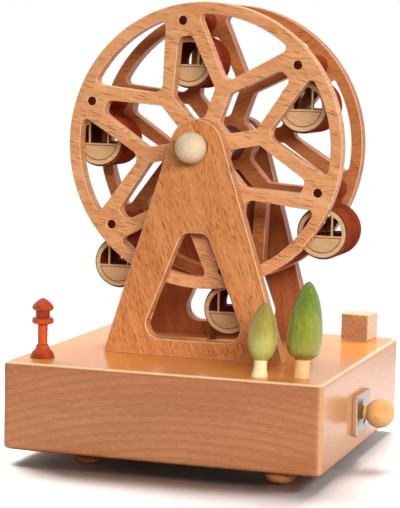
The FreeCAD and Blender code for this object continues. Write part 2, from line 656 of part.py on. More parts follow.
def bearing_block(x0, x1, y0, y1, axis):
    """Wooden block under the ceiling that a shaft turns in, with two screw holes."""
    block = box(x0, x1, y0, y1, SHAFT_Z - BLOCK_DROP, CEILING_Z)
    middle = V((x0 + x1) / 2, (y0 + y1) / 2, SHAFT_Z)
    span = BLOCK_T + 2
    cuts = [rod(SHAFT_R + RUN_GAP, middle - axis * (span / 2), axis, span)]
    across = Y_AXIS if axis == X_AXIS else X_AXIS
    for side in (-1, 1):
        spot = middle + across * (side * BLOCK_SCREW_OUT)
        spot.z = SHAFT_Z - BLOCK_DROP
        cuts.append(rod(BLOCK_SCREW_R + GLUE_GAP, spot, Z_AXIS, CEILING_Z - spot.z))
    return block.cut(cuts)


def block_screws():
    solids = []
    low = SHAFT_Z - BLOCK_DROP
    for x, y in block_screw_xy():
        shank = rod(BLOCK_SCREW_R, V(x, y, low), Z_AXIS, CEILING_Z - low + BLOCK_SCREW_BITE)
        head = rod(BLOCK_SCREW_HEAD_R, V(x, y, low - BLOCK_SCREW_HEAD_H), Z_AXIS,
                   BLOCK_SCREW_HEAD_H)
        slot = box(x - BLOCK_SCREW_HEAD_R, x + BLOCK_SCREW_HEAD_R, y - SLOT_W / 2, y + SLOT_W / 2,
                   low - BLOCK_SCREW_HEAD_H, low - BLOCK_SCREW_HEAD_H + SLOT_DEPTH)
        solids.append(one_solid(shank.fuse(head).cut(slot)))
    return Part.makeCompound(solids)


def crank_plate():
    """Small metal plate on the side of the base, round the shaft."""
    half_w, half_h = CRANK_PLATE_W / 2, CRANK_PLATE_H / 2
    corners = [V(SIDE_X, CRANK_Y + w * half_w, SHAFT_Z + h * half_h)
               for w, h in ((-1, -1), (1, -1), (1, 1), (-1, 1))]
    plate = prism(corners, [CRANK_PLATE_R] * 4, V(CRANK_PLATE_PROUD, 0, 0))
    rim = [e for e in plate.Edges if e.BoundBox.XMin > SIDE_X + CRANK_PLATE_PROUD / 2]
    plate = plate.makeFillet(CRANK_PLATE_EDGE_R, rim)
    cuts = [rod(SHAFT_R + CRANK_BUSH_WALL + GLUE_GAP, V(SIDE_X - 1, CRANK_Y, SHAFT_Z), X_AXIS,
                CRANK_PLATE_PROUD + 2)]
    cuts += [rod(TACK_R + GLUE_GAP, V(SIDE_X - 1, y, z), X_AXIS, CRANK_PLATE_PROUD + 2)
             for y, z in tack_yz()]
    return plate.cut(cuts)


def crank_plate_screws():
    solids = []
    for y, z in tack_yz():
        shank = rod(TACK_R, V(SIDE_X - TACK_L, y, z), X_AXIS, TACK_L + CRANK_PLATE_PROUD)
        head = rod(TACK_HEAD_R, V(SIDE_X + CRANK_PLATE_PROUD, y, z), X_AXIS, TACK_HEAD_H)
        outer = [e for e in head.Edges if e.BoundBox.XMin > SIDE_X + CRANK_PLATE_PROUD + TACK_HEAD_H / 2]
        head = head.makeFillet(TACK_HEAD_H * 0.8, outer)
        solids.append(one_solid(shank.fuse(head)))
    return Part.makeCompound(solids)


def crank_bush():
    length = BASE_WALL + CRANK_PLATE_PROUD
    return ring(SHAFT_R + CRANK_BUSH_WALL, SHAFT_R + RUN_GAP, V(CAVITY_X, CRANK_Y, SHAFT_Z),
                X_AXIS, length)


def knob():
    """Turned ball with a short neck, pressed on the end of the crank shaft."""
    ball_x = SIDE_X + KNOB_CENTRE_OUT
    neck_x = SIDE_X + CRANK_PLATE_PROUD + SIDE_PLAY
    ball = Part.makeSphere(KNOB_R, V(ball_x, CRANK_Y, SHAFT_Z))
    neck = rod(KNOB_NECK_R, V(neck_x, CRANK_Y, SHAFT_Z), X_AXIS, ball_x - neck_x)
    bore = rod(SHAFT_R + GLUE_GAP, V(neck_x, CRANK_Y, SHAFT_Z), X_AXIS, KNOB_BORE_DEPTH)
    return one_solid(ball.fuse(neck).cut(bore))


# ---------------------------------------------------------------- pieces on the base top

def blend(low, high, share):
    return low + (high - low) * share


def lamp_post():
    """Street lamp turned in one piece: flared foot, post, collar, neck and domed cap."""
    flare = [(blend(LAMP_ANKLE_R, LAMP_FOOT_R, r), LAMP_FOOT_H * h) for r, h in LAMP_FOOT_SHAPE]
    post = [(LAMP_POST_R, LAMP_FOOT_H), (LAMP_POST_R, LAMP_COLLAR_Z)]
    bevel_r = blend(LAMP_POST_R, LAMP_COLLAR_R, 0.7)
    collar = [(bevel_r, 0.06), (LAMP_COLLAR_R, 0.2), (LAMP_COLLAR_R, 0.78), (bevel_r, 0.93),
              (LAMP_NECK_R, 1.0)]
    collar = [(r, LAMP_COLLAR_Z + LAMP_COLLAR_H * h) for r, h in collar]
    neck_top = (LAMP_NECK_R, LAMP_CAP_Z)
    cap = [(LAMP_CAP_R * r, blend(LAMP_CAP_Z, LAMP_H, h)) for r, h in LAMP_CAP_SHAPE]
    under_cap = (blend(LAMP_NECK_R, LAMP_CAP_R, 0.65), blend(LAMP_CAP_Z, LAMP_H, 0.06))
    corners = [(0, -PEG_L), (PEG_R, -PEG_L), (PEG_R, 0), (LAMP_FOOT_R, 0), flare[0]]
    edges = [line(a, b) for a, b in zip(corners, corners[1:])]
    edges.append(spline(flare))
    stem = flare[-1:] + post + collar + [neck_top, under_cap, cap[0]]
    edges += [line(a, b) for a, b in zip(stem, stem[1:])]
    edges += [spline(cap), line((0, LAMP_H), (0, -PEG_L))]
    return turned(edges, V(LAMP_XY[0], LAMP_XY[1], TOP_Z))


def lean(shape, xy):
    """Tip a tree piece about the foot of its trunk, as a hand-glued tree stands."""
    towards = math.radians(TREE_LEAN_TOWARDS)
    shape.rotate(V(xy[0], xy[1], TOP_Z), V(-math.sin(towards), math.cos(towards), 0), TREE_LEAN)
    return shape


def trunk(xy, foot_r, radius, height):
    """Leaning dowel, wider at its foot, with a peg for the base and one for the crown."""
    side = [(foot_r, -1), (foot_r, 0), (blend(radius, foot_r, 0.3), height * 0.35), (radius, height)]
    peg_top = height + CROWN_PEG_L
    edges = [line((0, -1), side[0]), line(side[0], side[1]), spline(side[1:]),
             line(side[-1], (PEG_R, height)), line((PEG_R, height), (PEG_R, peg_top)),
             line((PEG_R, peg_top), (0, peg_top)), line((0, peg_top), (0, -1))]
    wood = lean(turned(edges, V(xy[0], xy[1], TOP_Z)), xy)
    reach = 2 * foot_r
    below = box(xy[0] - reach, xy[0] + reach, xy[1] - reach, xy[1] + reach, TOP_Z - reach, TOP_Z)
    peg = rod(PEG_R, V(xy[0], xy[1], TOP_Z - PEG_L), Z_AXIS, PEG_L + 1)
    return one_solid(wood.cut(below).fuse(peg))


def tree_crown(xy, base_h, height, radius, shape, trunk_r):
    """Turned crown; shape lists (share of radius, share of height) up its outline."""
    edge = [(trunk_r, 0)] + [(radius * r, height * h) for r, h in shape] + [(0, height)]
    bore_r = PEG_R + GLUE_GAP
    edges = [line((bore_r, 0), edge[0]), spline(edge), line((0, height), (0, CROWN_PEG_L)),
             line((0, CROWN_PEG_L), (bore_r, CROWN_PEG_L)), line((bore_r, CROWN_PEG_L), (bore_r, 0))]
    return lean(turned(edges, V(xy[0], xy[1], TOP_Z + base_h)), xy)


def corner_block():
    half = BLOCK_SIDE / 2
    block = box(-half, half, -half, half, 0, BLOCK_H)
    block = block.makeFillet(BLOCK_EDGE_R, block.Edges)
    block.rotate(V(0, 0, 0), Z_AXIS, BLOCK_YAW)
    block.translate(V(BLOCK_XY[0], BLOCK_XY[1], TOP_Z))
    return block


# ---------------------------------------------------------------- the parts

def make_base():
    save("base_body", base_body())
    save("bottom_cover", bottom_cover())
    save("cover_screws", Part.makeCompound([cover_screw(x, y) for x, y in cover_screw_xy()]))
    save("feet", Part.makeCompound([foot(x, y) for x, y in FEET_XY]))
    save("front_a_frame", a_frame(FRONT_FRAME_Y))
    save("rear_a_frame", a_frame(REAR_FRAME_Y))
    save("frame_dowels", frame_dowels())
    save("front_bush", bush(FRONT_FRAME_Y, FRONT_FRAME_BACK, FRONT_PLATE_Y - SIDE_PLAY))
    pulley_back = BELT_Y + PULLEY_W / 2
    save("rear_bush", bush(REAR_FRAME_BACK, REAR_FRAME_Y, pulley_back + SIDE_PLAY))


def make_toppings():
    save("lamp_post", lamp_post())
    save("small_tree_trunk", trunk(SMALL_TREE_XY, SMALL_TRUNK_FOOT_R, SMALL_TRUNK_R, SMALL_TRUNK_H))
    save("small_tree_crown", tree_crown(SMALL_TREE_XY, SMALL_TRUNK_H, SMALL_CROWN_H, SMALL_CROWN_R,
                                        SMALL_CROWN_SHAPE, SMALL_TRUNK_R))
    save("tall_tree_trunk", trunk(TALL_TREE_XY, TALL_TRUNK_FOOT_R, TALL_TRUNK_R, TALL_TRUNK_H))
    save("tall_tree_crown", tree_crown(TALL_TREE_XY, TALL_TRUNK_H, TALL_CROWN_H, TALL_CROWN_R,
                                       TALL_CROWN_SHAPE, TALL_TRUNK_R))
    save("corner_block", corner_block())


def make_wheel():
    save("front_wheel_plate", wheel_plate(FRONT_PLATE_Y))
    save("rear_wheel_plate", wheel_plate(REAR_PLATE_Y))
    save("hub_spacer", ring(HUB_R, AXLE_R + GLUE_GAP, V(0, FRONT_PLATE_BACK, AXLE_Z), Y_AXIS,
                            REAR_PLATE_Y - FRONT_PLATE_BACK))
    front_ball_y = FRONT_FRAME_Y - SIDE_PLAY - AXLE_BALL_R
    rear_ball_y = REAR_FRAME_BACK + SIDE_PLAY + AXLE_BALL_R
    bore_end = BALL_BORE_DEPTH - AXLE_BALL_R
    save("axle", rod(AXLE_R, V(0, front_ball_y - bore_end, AXLE_Z), Y_AXIS,
                     rear_ball_y - front_ball_y + 2 * bore_end))
    save("front_axle_ball", axle_ball(front_ball_y, 1))
    save("rear_axle_ball", axle_ball(rear_ball_y, -1))
    axle_pulley = pulley(BELT_Y, AXLE_Z)
    boss = rod(HUB_R, V(0, REAR_PLATE_BACK, AXLE_Z), Y_AXIS, BELT_Y - PULLEY_W / 2 - REAR_PLATE_BACK)
    bore = rod(AXLE_R + GLUE_GAP, V(0, REAR_PLATE_BACK - 1, AXLE_Z), Y_AXIS,
               BELT_Y + PULLEY_W - REAR_PLATE_BACK)
    save("axle_pulley", one_solid(axle_pulley.fuse(boss).cut(bore)))
    pins = [rod(PIN_R, pin_centre(i, FRONT_PLATE_Y), Y_AXIS, REAR_PLATE_BACK - FRONT_PLATE_Y)
            for i in range(GONDOLAS)]
    save("gondola_pins", Part.makeCompound(pins))


def make_gondolas():
    for i in range(GONDOLAS):
        name = "gondola_%d" % (i + 1)
        save(name + "_drum", gondola_body(i))
        save(name + "_front_face", gondola_face(i, DRUM_FRONT_Y - DISC_T))
        save(name + "_rear_face", gondola_face(i, DRUM_BACK_Y))


def make_drive():
    save("belt", belt())
    save("crank_plate", crank_plate())
    save("crank_plate_screws", crank_plate_screws())
    save("crank_bush", crank_bush())
    save("crank_knob", knob())
    shaft_x = PITCH_CROWN_R - GEAR_FACE / 2
    knob_end = SIDE_X + CRANK_PLATE_PROUD + SIDE_PLAY + KNOB_BORE_DEPTH
    save("crank_shaft", rod(SHAFT_R, V(shaft_x, CRANK_Y, SHAFT_Z), X_AXIS, knob_end - shaft_x))
    save("crank_pinion", pinion())
    save("crown_gear", crown_gear())
    cross_end = CROSS_BLOCK_2_Y + BLOCK_T + SHAFT_TAIL
    save("cross_shaft", rod(SHAFT_R, V(0, CROWN_FACE_Y, SHAFT_Z), Y_AXIS, cross_end - CROWN_FACE_Y))
    bore = rod(SHAFT_R + GLUE_GAP, V(0, BELT_Y - PULLEY_W, SHAFT_Z), Y_AXIS, 2 * PULLEY_W)
    save("drive_pulley", pulley(BELT_Y, SHAFT_Z).cut(bore))
    save("crank_block", bearing_block(CRANK_BLOCK_X, CRANK_BLOCK_X + BLOCK_T,
                                      CRANK_Y - BLOCK_HALF_W, CRANK_Y + BLOCK_HALF_W, X_AXIS))
    for node, y in (("front_cross_block", CROSS_BLOCK_1_Y), ("rear_cross_block", CROSS_BLOCK_2_Y)):
        save(node, bearing_block(-BLOCK_HALF_W, BLOCK_HALF_W, y, y + BLOCK_T, Y_AXIS))
    save("block_screws", block_screws())


os.makedirs("parts", exist_ok=True)
make_base()
make_toppings()
make_wheel()
make_gondolas()
make_drive()
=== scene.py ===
"""Crank ferris wheel toy: beech base, A-frames and spoked wheel boards, stained gondolas with
pale faces, turned trees, lamp and knobs. Sizes are millimetres in the part's own frame: x
right, y back, z up, and the feet stand on z = 0. A flat line is its points with the unit
directions that point out of it; a patch is points, normals, faces and edge marks."""

import math
from functools import partialmethod

import bpy
import numpy as np
from mathutils import Matrix
from mathutils.geometry import delaunay_2d_cdt


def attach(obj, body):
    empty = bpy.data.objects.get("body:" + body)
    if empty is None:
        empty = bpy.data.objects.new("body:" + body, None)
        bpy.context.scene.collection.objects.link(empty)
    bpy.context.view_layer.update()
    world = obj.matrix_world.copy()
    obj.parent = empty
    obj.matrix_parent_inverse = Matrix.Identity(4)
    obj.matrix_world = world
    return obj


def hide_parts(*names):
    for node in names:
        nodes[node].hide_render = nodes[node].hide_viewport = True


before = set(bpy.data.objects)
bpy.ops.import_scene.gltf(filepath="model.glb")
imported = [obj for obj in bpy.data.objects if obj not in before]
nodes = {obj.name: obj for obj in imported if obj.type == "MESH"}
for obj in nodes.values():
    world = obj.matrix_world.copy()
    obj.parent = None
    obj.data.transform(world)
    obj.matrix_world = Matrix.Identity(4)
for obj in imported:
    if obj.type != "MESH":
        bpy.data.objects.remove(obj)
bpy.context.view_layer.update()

MM = 0.001
WHITE = (1.0, 1.0, 1.0, 1.0)
X, Y, Z = 0, 1, 2

BASE_HALF = 60.0
BASE_EDGE_R = 1.6           # arc between the base's faces
BASE_CORNER_R = 2.6         # upright corners
UNDER_Z = 5.0               # underside, which stands on the feet
TOP_Z = 37.4
RECESS_HALF = 54.0          # the bottom cover's recess
RECESS_Z = 8.0
CAVITY_HALF = 48.0
CEILING_Z = 31.4
AXLE_Z = 115.7
SHAFT_Y, SHAFT_Z = -5.5, 18.8
BORE_R = 3.02               # bores of the axle and of the crank's bush
BUSH_BORE_R = 4.52
PIN_BORE_R = 1.66
PIN_CIRCLE_R = 47.14
PIN_TURN = 10.66            # degrees
PIN_ANGLES = [math.radians(90 + PIN_TURN + 60 * i) for i in range(6)]
WHEEL_R = 53.3
FRONT_BOARD = (-15.2, -9.8)
REAR_BOARD = (16.4, 21.8)
DROP = 15.3                 # from a pin down to its drum's centre
BELT_Y = 26.3
BELT_R = 7.8                # of the belt's centre line round a pulley
FRAME_THICK = 5.3


# ------------------------------------------------------------ flat outlines

def rays(a):
    """Unit directions (cos a, sin a)."""
    return np.stack([np.cos(a), np.sin(a)], 1)


def rounded(corners, radii, step=0.16):
    """Closed line through corners with a tangent arc at each: corner b becomes
    c + r (cos a, sin a), c on the bisector at r / sin(half angle) from b."""
    corner = np.asarray(corners, float)
    after = np.roll(corner, -1, axis=0)
    turn = np.sign(np.sum(corner[:, 0] * after[:, 1] - after[:, 0] * corner[:, 1]))
    points, outward = [], []
    for i, b in enumerate(corner):
        u, w = corner[i - 1] - b, after[i] - b
        u, w = u / np.hypot(*u), w / np.hypot(*w)
        half = 0.5 * math.acos(float(np.clip(u @ w, -1, 1)))
        bisector = (u + w) / max(np.hypot(*(u + w)), 1e-9)
        centre = b + bisector * radii[i] / math.sin(half)
        first = b + u * radii[i] / math.tan(half) - centre
        last = b + w * radii[i] / math.tan(half) - centre
        a0 = math.atan2(first[1], first[0])
        sweep = (math.atan2(last[1], last[0]) - a0 + math.pi) % (2 * math.pi) - math.pi
        ray = rays(a0 + sweep * np.linspace(0, 1, max(3, math.ceil(abs(sweep) / step) + 1)))
        bulges = (-u[0] * w[1] + u[1] * w[0]) * turn > 0
        points.append(centre + radii[i] * ray)
        outward.append(ray if bulges else -ray)
    return np.vstack(points), np.vstack(outward)


def arc(centre, radius, a0, a1, step=0.1):
    """Circular arc centre + r (cos a, sin a) for a from a0 to a1, with its outward rays."""
    ray = rays(np.linspace(a0, a1, max(3, math.ceil(abs(a1 - a0) / step) + 1)))
    return np.asarray(centre, float) + radius * ray, ray


def circle(centre, radius, count):
    """Full circle of count points, centre + r (cos a, sin a)."""
    ray = rays(np.arange(count) * 2 * math.pi / count)
    return np.asarray(centre, float) + radius * ray, ray


def joined(*pieces):
    """One line from several arcs, each given as points and rays."""
    return np.vstack([p for p, n in pieces]), np.vstack([n for p, n in pieces])


def spun(angle):
    """Matrix that turns rows (outward, sideways) by angle."""
    c, s = math.cos(angle), math.sin(angle)
    return np.array([[c, s], [-s, c]])


def rim_window():
    """Three-sided opening of the wheel: two sides s = slope (o - apex) and the arc of radius
    outer, its point rounded by nose_r and the far corners by corner_r. A far corner's centre
    lies on the side's parallel at corner_r and on the circle of radius outer - corner_r."""
    slope, apex, outer, nose_r, corner_r = 0.92, 25.0, 48.9, 3.6, 1.8
    length = math.hypot(1, slope)
    along = np.array([1, slope]) / length
    inward = np.array([slope, -1]) / length
    half = math.atan(slope)
    foot = np.array([apex, 0.0]) + corner_r * inward
    reach = foot @ along
    t = -reach + math.sqrt(reach * reach - foot @ foot + (outer - corner_r) ** 2)
    corner = foot + t * along
    flare = math.atan2(-inward[1], -inward[0])
    rise = math.atan2(corner[1], corner[0])
    nose = np.array([apex + nose_r / math.sin(half), 0.0])
    return joined(arc(nose, nose_r, math.pi / 2 + half, 1.5 * math.pi - half),
                  arc(corner * [1, -1], corner_r, -flare, -rise),
                  arc((0, 0), outer, -rise, rise, 0.06),
                  arc(corner, corner_r, rise, flare))


def kite_window():
    """Kite-shaped opening under a pin, six corners on the pin's ray."""
    side = [(41.3, 2.56), (20.4, 8.28), (10.4, 2.54)]
    corners = side + [(o, -s) for o, s in reversed(side)]
    return rounded(corners, [2.4, 2.0, 2.0, 2.0, 2.0, 2.4])


def keyhole():
    """Gondola outline about the drum's centre: a drum, a neck of half-width 2.2 and an eye
    about the pin, the four inner corners rounded."""
    drum_r, eye_r, inner_r = 9.9, 3.9, 0.8
    side = 2.2 + inner_r
    low = math.sqrt((drum_r + inner_r) ** 2 - side ** 2)
    high = DROP - math.sqrt((eye_r + inner_r) ** 2 - side ** 2)
    a, b, flip = math.atan2(low, side), math.atan2(high - DROP, side), math.pi
    inner = [(p, -n) for p, n in (
        arc((side, low), inner_r, flip + a, flip, 0.3), arc((side, high), inner_r, flip, flip + b, 0.3),
        arc((-side, high), inner_r, -b, 0.0, 0.3), arc((-side, low), inner_r, 0.0, -a, 0.3))]
    drum = arc((0, 0), drum_r, flip - a, 2 * flip + a, 0.09)
    eye = arc((0, DROP), eye_r, b, flip - b, 0.16)
    return joined(drum, inner[0], inner[1], eye, inner[2], inner[3])


def cabin_window():
    """Space above the sill inside a circle, its two corners rounded."""
    radius, sill, corner = 7.8, -1.35, 0.5
    z = sill + corner
    x = math.sqrt((radius - corner) ** 2 - z * z)
    rise = math.atan2(z, x)
    return joined(arc((x, z), corner, -math.pi / 2, rise, 0.3),
                  arc((0, 0), radius, rise, math.pi - rise, 0.1),
                  arc((-x, z), corner, math.pi - rise, 1.5 * math.pi, 0.3))


def pane(x0, x1):
    """Window over the sill between uprights at x0 and x1, under chords of a circle whose
    corners are the crossings of neighbouring tangents. An upright past the circle is left
    out, and the circle runs down to the sill there."""
    radius, sill, parts, corner = 7.45, -0.85, 5, 0.2
    low = math.asin(sill / radius)
    first = math.acos(x1 / radius) if x1 < radius else low
    last = math.acos(x0 / radius) if x0 > -radius else math.pi - low
    width = (last - first) / parts
    bow = radius / math.cos(width / 2) * rays(first + width * (np.arange(parts) + 0.5))
    tips = radius * rays(np.array([first, last]))
    feet = [(x, sill) for x in (x0, x1) if abs(x) < radius]
    bow_r = [radius * 0.5, *[radius * 0.8] * (parts - 2), radius * 0.5]
    return rounded([tips[0], *bow, tips[1], *feet], [corner, *bow_r, corner] + [corner] * len(feet), 0.3)


def frame_outline():
    """A-frame about the axle: a round head and sides tangent to it that run down to the foot,
    whose corners are rounded."""
    head_r, foot_half, drop, foot_r = 10.3, 35.4, 78.3, 0.6
    touch = math.atan2(-drop, foot_half) + math.acos(head_r / math.hypot(foot_half, drop))
    head = arc((0, 0), head_r, touch, math.pi - touch, 0.08)
    corners = [head[0][-1], (-foot_half, -drop), (foot_half, -drop), head[0][0]]
    points, outward = rounded(corners, [0.01, foot_r, foot_r, 0.01], 0.4)
    keep = np.abs(points[:, 1] + drop) < 1.0
    return joined(head, (points[keep], outward[keep]))


def frame_window():
    """Rounded trapezium of the A-frame, about the axle."""
    low, high = 6.3 - 78.3, 46.4 - 78.3
    return rounded([(-21, low), (21, low), (4.84, high), (-4.84, high)], [5.5, 5.5, 4.0, 4.0], 0.12)


def rounded_square(half, corner, count=9):
    """Square with rounded corners as a ring of 4 x count points."""
    turns = (np.arange(4) * math.pi / 2)[:, None] + np.linspace(0, math.pi / 2, count)
    ray = rays(turns.ravel())
    signs = np.array([[1, 1], [-1, 1], [-1, -1], [1, -1]], float)
    return np.repeat(signs * (half - corner), count, axis=0) + corner * ray, ray


# ------------------------------------------------------------ surfaces

def lifted(flat, axis, depth):
    """Flat points or directions in space, with depth as their part along the axis."""
    return np.insert(np.asarray(flat, float), axis, depth, axis=1)


def grid(points, normals, mark=0.0):
    """Patch of quads over a grid of points (rows, columns) whose last column joins the first.
    mark is kept at each corner of its faces: one number, one a row, or a grid."""
    rows, columns = points.shape[:2]
    number = np.arange(rows * columns).reshape(rows, columns)
    right = np.roll(number, -1, axis=1)
    faces = np.stack([number[:-1], right[:-1], right[1:], number[1:]], -1).reshape(-1, 4)
    mark = np.asarray(mark, float)
    marks = np.broadcast_to(mark if mark.ndim == 2 else mark.reshape(-1, 1), (rows, columns))
    return points.reshape(-1, 3), normals.reshape(-1, 3), faces, marks.reshape(-1)


def inside(points, lines):
    """True where a ray from the point crosses the closed lines an odd number of times."""
    a = np.vstack(lines)
    b = np.vstack([np.roll(one, -1, axis=0) for one in lines])
    x, y = points[:, :1], points[:, 1:]
    spans = (a[:, 1] > y) != (b[:, 1] > y)
    rise = np.where(a[:, 1] == b[:, 1], 1.0, b[:, 1] - a[:, 1])
    return np.sum(spans & (x < (b[:, 0] - a[:, 0]) * (y - a[:, 1]) / rise + a[:, 0]), 1) % 2 == 1


def cap(lines, axis, depth, facing, mark=0.0, centre=(0.0, 0.0)):
    """Flat patch between closed lines, moved to centre, that faces up or down the axis: a
    constrained triangulation, kept where a triangle's middle lies inside."""
    flat = np.vstack(lines)
    starts = np.cumsum([0] + [len(one) for one in lines])
    edges = np.vstack([np.stack([np.arange(a, b), np.roll(np.arange(a, b), -1)], 1)
                       for a, b in zip(starts, starts[1:])])
    out = delaunay_2d_cdt(flat.tolist(), edges.tolist(), [], 0, 1e-7, False)
    faces = np.array(out[2])
    found = np.array([(v.x, v.y) for v in out[0]]) if len(out[0]) != len(flat) else flat
    faces = faces[inside(found[faces].mean(axis=1), lines)]
    faces = np.hstack([faces, faces[:, -1:]])
    space = lifted(found + centre, axis, depth)
    return space, np.tile(facing * np.eye(3)[axis], (len(space), 1)), faces, np.full(len(space), mark)


def board(outline, holes, span, centre, edges, axis=Y, steps=3, wall_mark=1.0):
    """Flat board with holes, across an axis over a span of it. Each line is swept along a
    quarter arc, the wall and another quarter arc: the line moves into the wood by
    e (1 - sin q) while the depth runs e (1 - cos q). edges lists e, line by line."""
    low, high = span
    q = np.linspace(0, math.pi / 2, steps + 1)
    side = np.append(np.sin(q), np.sin(q)[::-1])
    up = np.append(-np.cos(q), np.cos(q)[::-1])
    patches, ends = [], ([], [])
    for (points, away), e in zip([outline] + [(p, -n) for p, n in holes], edges):
        sink = e * (1 - np.cos(q))
        depth = np.repeat(np.append(low + sink, (high - sink)[::-1]), len(points))
        flat = points - (e * (1 - side))[:, None, None] * away
        space = lifted(flat.reshape(-1, 2) + centre, axis, depth)
        normals = lifted((side[:, None, None] * away).reshape(-1, 2), axis, np.repeat(up, len(points)))
        shape = (len(side), len(points), 3)
        mark = np.clip(side, 0, 1) * wall_mark
        patches.append(grid(space.reshape(shape), normals.reshape(shape), mark))
        ends[0].append(flat[0])
        ends[1].append(flat[-1])
    return patches + [cap(ends[0], axis, low, -1, 0.0, centre), cap(ends[1], axis, high, 1, 0.0, centre)]


def through(points, count):
    """Smooth line through points: a natural cubic spline over chord length, each coordinate
    by itself."""
    p = np.asarray(points, float)
    t = np.concatenate([[0.0], np.cumsum(np.hypot(*np.diff(p, axis=0).T))])
    h = np.diff(t)
    last = len(p) - 1
    i = np.arange(1, last)
    matrix = np.eye(last + 1)
    matrix[i, i - 1], matrix[i, i], matrix[i, i + 1] = h[:-1], 2 * (h[:-1] + h[1:]), h[1:]
    right = np.zeros_like(p)
    right[1:-1] = 6 * np.diff(np.diff(p, axis=0) / h[:, None], axis=0)
    m = np.linalg.solve(matrix, right)
    s = np.linspace(0, t[-1], count)
    k = np.clip(np.searchsorted(t, s, side="right") - 1, 0, last - 1)
    before, after, width = (t[k + 1] - s)[:, None], (s - t[k])[:, None], h[k][:, None]
    return ((m[k] * before ** 3 + m[k + 1] * after ** 3) / (6 * width)
            + (p[k] / width - m[k] * width / 6) * before
            + (p[k + 1] / width - m[k + 1] * width / 6) * after)


def bend(centre_r, centre_h, radius, a0, a1, count):
    """Arc of a turned profile, angles in degrees from the outward direction."""
    return np.array([centre_r, centre_h]) + radius * rays(np.radians(np.linspace(a0, a1, count)))


def straight(*points):
    """Straight runs of a turned profile between points, one run each."""
    return [np.array([a, b], float) for a, b in zip(points, points[1:])]


def turned(runs, centre, axis=Z, count=72, marks=None):
    """Surface of revolution. Each run is a smooth piece of profile (radius, height) that
    goes round with the wood on its left; its normal is (dh, -dr) from central differences.
    The point is centre + r (cos a, sin a) across the axis + h along it."""
    u, v, w = np.eye(3)[[axis - 2, axis - 1, axis]]
    ray = rays(np.arange(count) * 2 * math.pi / count) @ np.array([u, v])
    patches = []
    for i, run in enumerate(runs):
        run = np.asarray(run, float)
        tangent = np.gradient(run, axis=0)
        normal = np.stack([tangent[:, 1], -tangent[:, 0]], 1)
        normal /= np.maximum(np.hypot(*normal.T), 1e-12)[:, None]
        points = run[:, :1, None] * ray + run[:, 1:, None] * w + np.asarray(centre, float)
        normals = normal[:, :1, None] * ray + normal[:, 1:, None] * w
        patches.append(grid(points, normals, 0.0 if marks is None else marks[i]))
    return patches


def square_sweep(steps, count=9, spin=np.eye(2), centre=(0.0, 0.0)):
    """Rounded squares carried up. A step is the half width, corner radius and height, the
    normal's share sideways and up, the edge mark and a mark that peaks mid-corner; both paint highlights
    and paler lit faces."""
    rings, normals, marks = [], [], []
    for half, corner, z, side, up, mark, corner_highlight in steps:
        flat, ray = rounded_square(half, corner, count)
        rings.append(lifted(flat @ spin + centre, Z, z))
        normals.append(lifted(ray @ spin * side, Z, up))
        marks.append(np.maximum(mark, corner_highlight * (2 * ray[:, 0] * ray[:, 1]) ** 2))
    return grid(np.stack(rings), np.stack(normals), np.array(marks))


def leaning(patches, foot):
    """Patches tipped about a foot point by 3.5 degrees towards 18 degrees left of +x."""
    t = math.radians(18.0)
    spin = np.array(Matrix.Rotation(math.radians(3.5), 3, (-math.sin(t), math.cos(t), 0))).T
    return [((p - foot) @ spin + foot, n @ spin, f, m) for p, n, f, m in patches]


def shell(patches):
    """Joins patches into vertices, faces, corner normals and corner marks. Points that
    agree to a ten-thousandth are one vertex, faces are turned to agree with their normals,
    and corners that fall together are dropped."""
    sizes = np.cumsum([0] + [len(p) for p, n, f, m in patches])
    points = np.vstack([p for p, n, f, m in patches])
    normals = np.vstack([n for p, n, f, m in patches])
    marks = np.concatenate([m for p, n, f, m in patches])
    faces = np.vstack([f + s for (p, n, f, m), s in zip(patches, sizes)])
    _, first, same = np.unique(np.round(points * 1e4).astype(np.int64), axis=0,
                               return_index=True, return_inverse=True)
    corner = points[faces]
    across = np.cross(corner[:, 2] - corner[:, 0], corner[:, 3] - corner[:, 1])
    wrong = np.sum(across * normals[faces].sum(axis=1), axis=1) < 0
    faces[wrong] = faces[wrong][:, ::-1]
    merged = same.reshape(-1)[faces]
    keep = merged != np.roll(merged, 1, axis=1)
    good = keep.sum(axis=1) >= 3
    merged, keep, faces = merged[good], keep[good], faces[good]
    used, renumbered = np.unique(merged[keep], return_inverse=True)
    return (points[first][used], renumbered.reshape(-1), keep.sum(axis=1),
            normals[faces][keep], marks[faces][keep])


def made_of(name, patches, material, chart=None):
    """Mesh object from patches, in metres, with its own corner normals and the edge mark.
    chart(points) gives flat pattern coordinates for an own UV map."""
    points, corners, counts, normals, marks = shell(patches)
    mesh = bpy.data.meshes.new(name)
    mesh.vertices.add(len(points))
    mesh.vertices.foreach_set("co", (points * MM).astype(np.float32).ravel())
    mesh.loops.add(len(corners))
    mesh.loops.foreach_set("vertex_index", corners.astype(np.int32))
    mesh.polygons.add(len(counts))
    starts = np.concatenate([[0], np.cumsum(counts)[:-1]])
    mesh.polygons.foreach_set("loop_start", starts.astype(np.int32))
    mesh.update(calc_edges=True)
    mesh.shade_smooth()
    mesh.attributes.new("edge", "FLOAT", "CORNER").data.foreach_set("value", marks.astype(np.float32))
    if chart is not None:
        flat = chart(points[corners]).astype(np.float32)
        mesh.uv_layers.new(name="face chart").data.foreach_set("uv", flat.ravel())
    lengths = np.maximum(np.linalg.norm(normals, axis=1), 1e-9)[:, None]
    mesh.normals_split_custom_set((normals / lengths).tolist())
    mesh.materials.append(material)
    mesh.validate()
    made = bpy.data.objects.new(name, mesh)
    bpy.context.scene.collection.objects.link(made)
    return made


def piece(name, patches, material, body, node, chart=None):
    """Piece from patches that rides on a body and hides the CAD node it stands in for."""
    made = made_of(name, patches, material, chart)
    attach(made, body)
    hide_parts(node)


# ------------------------------------------------------------ material tools

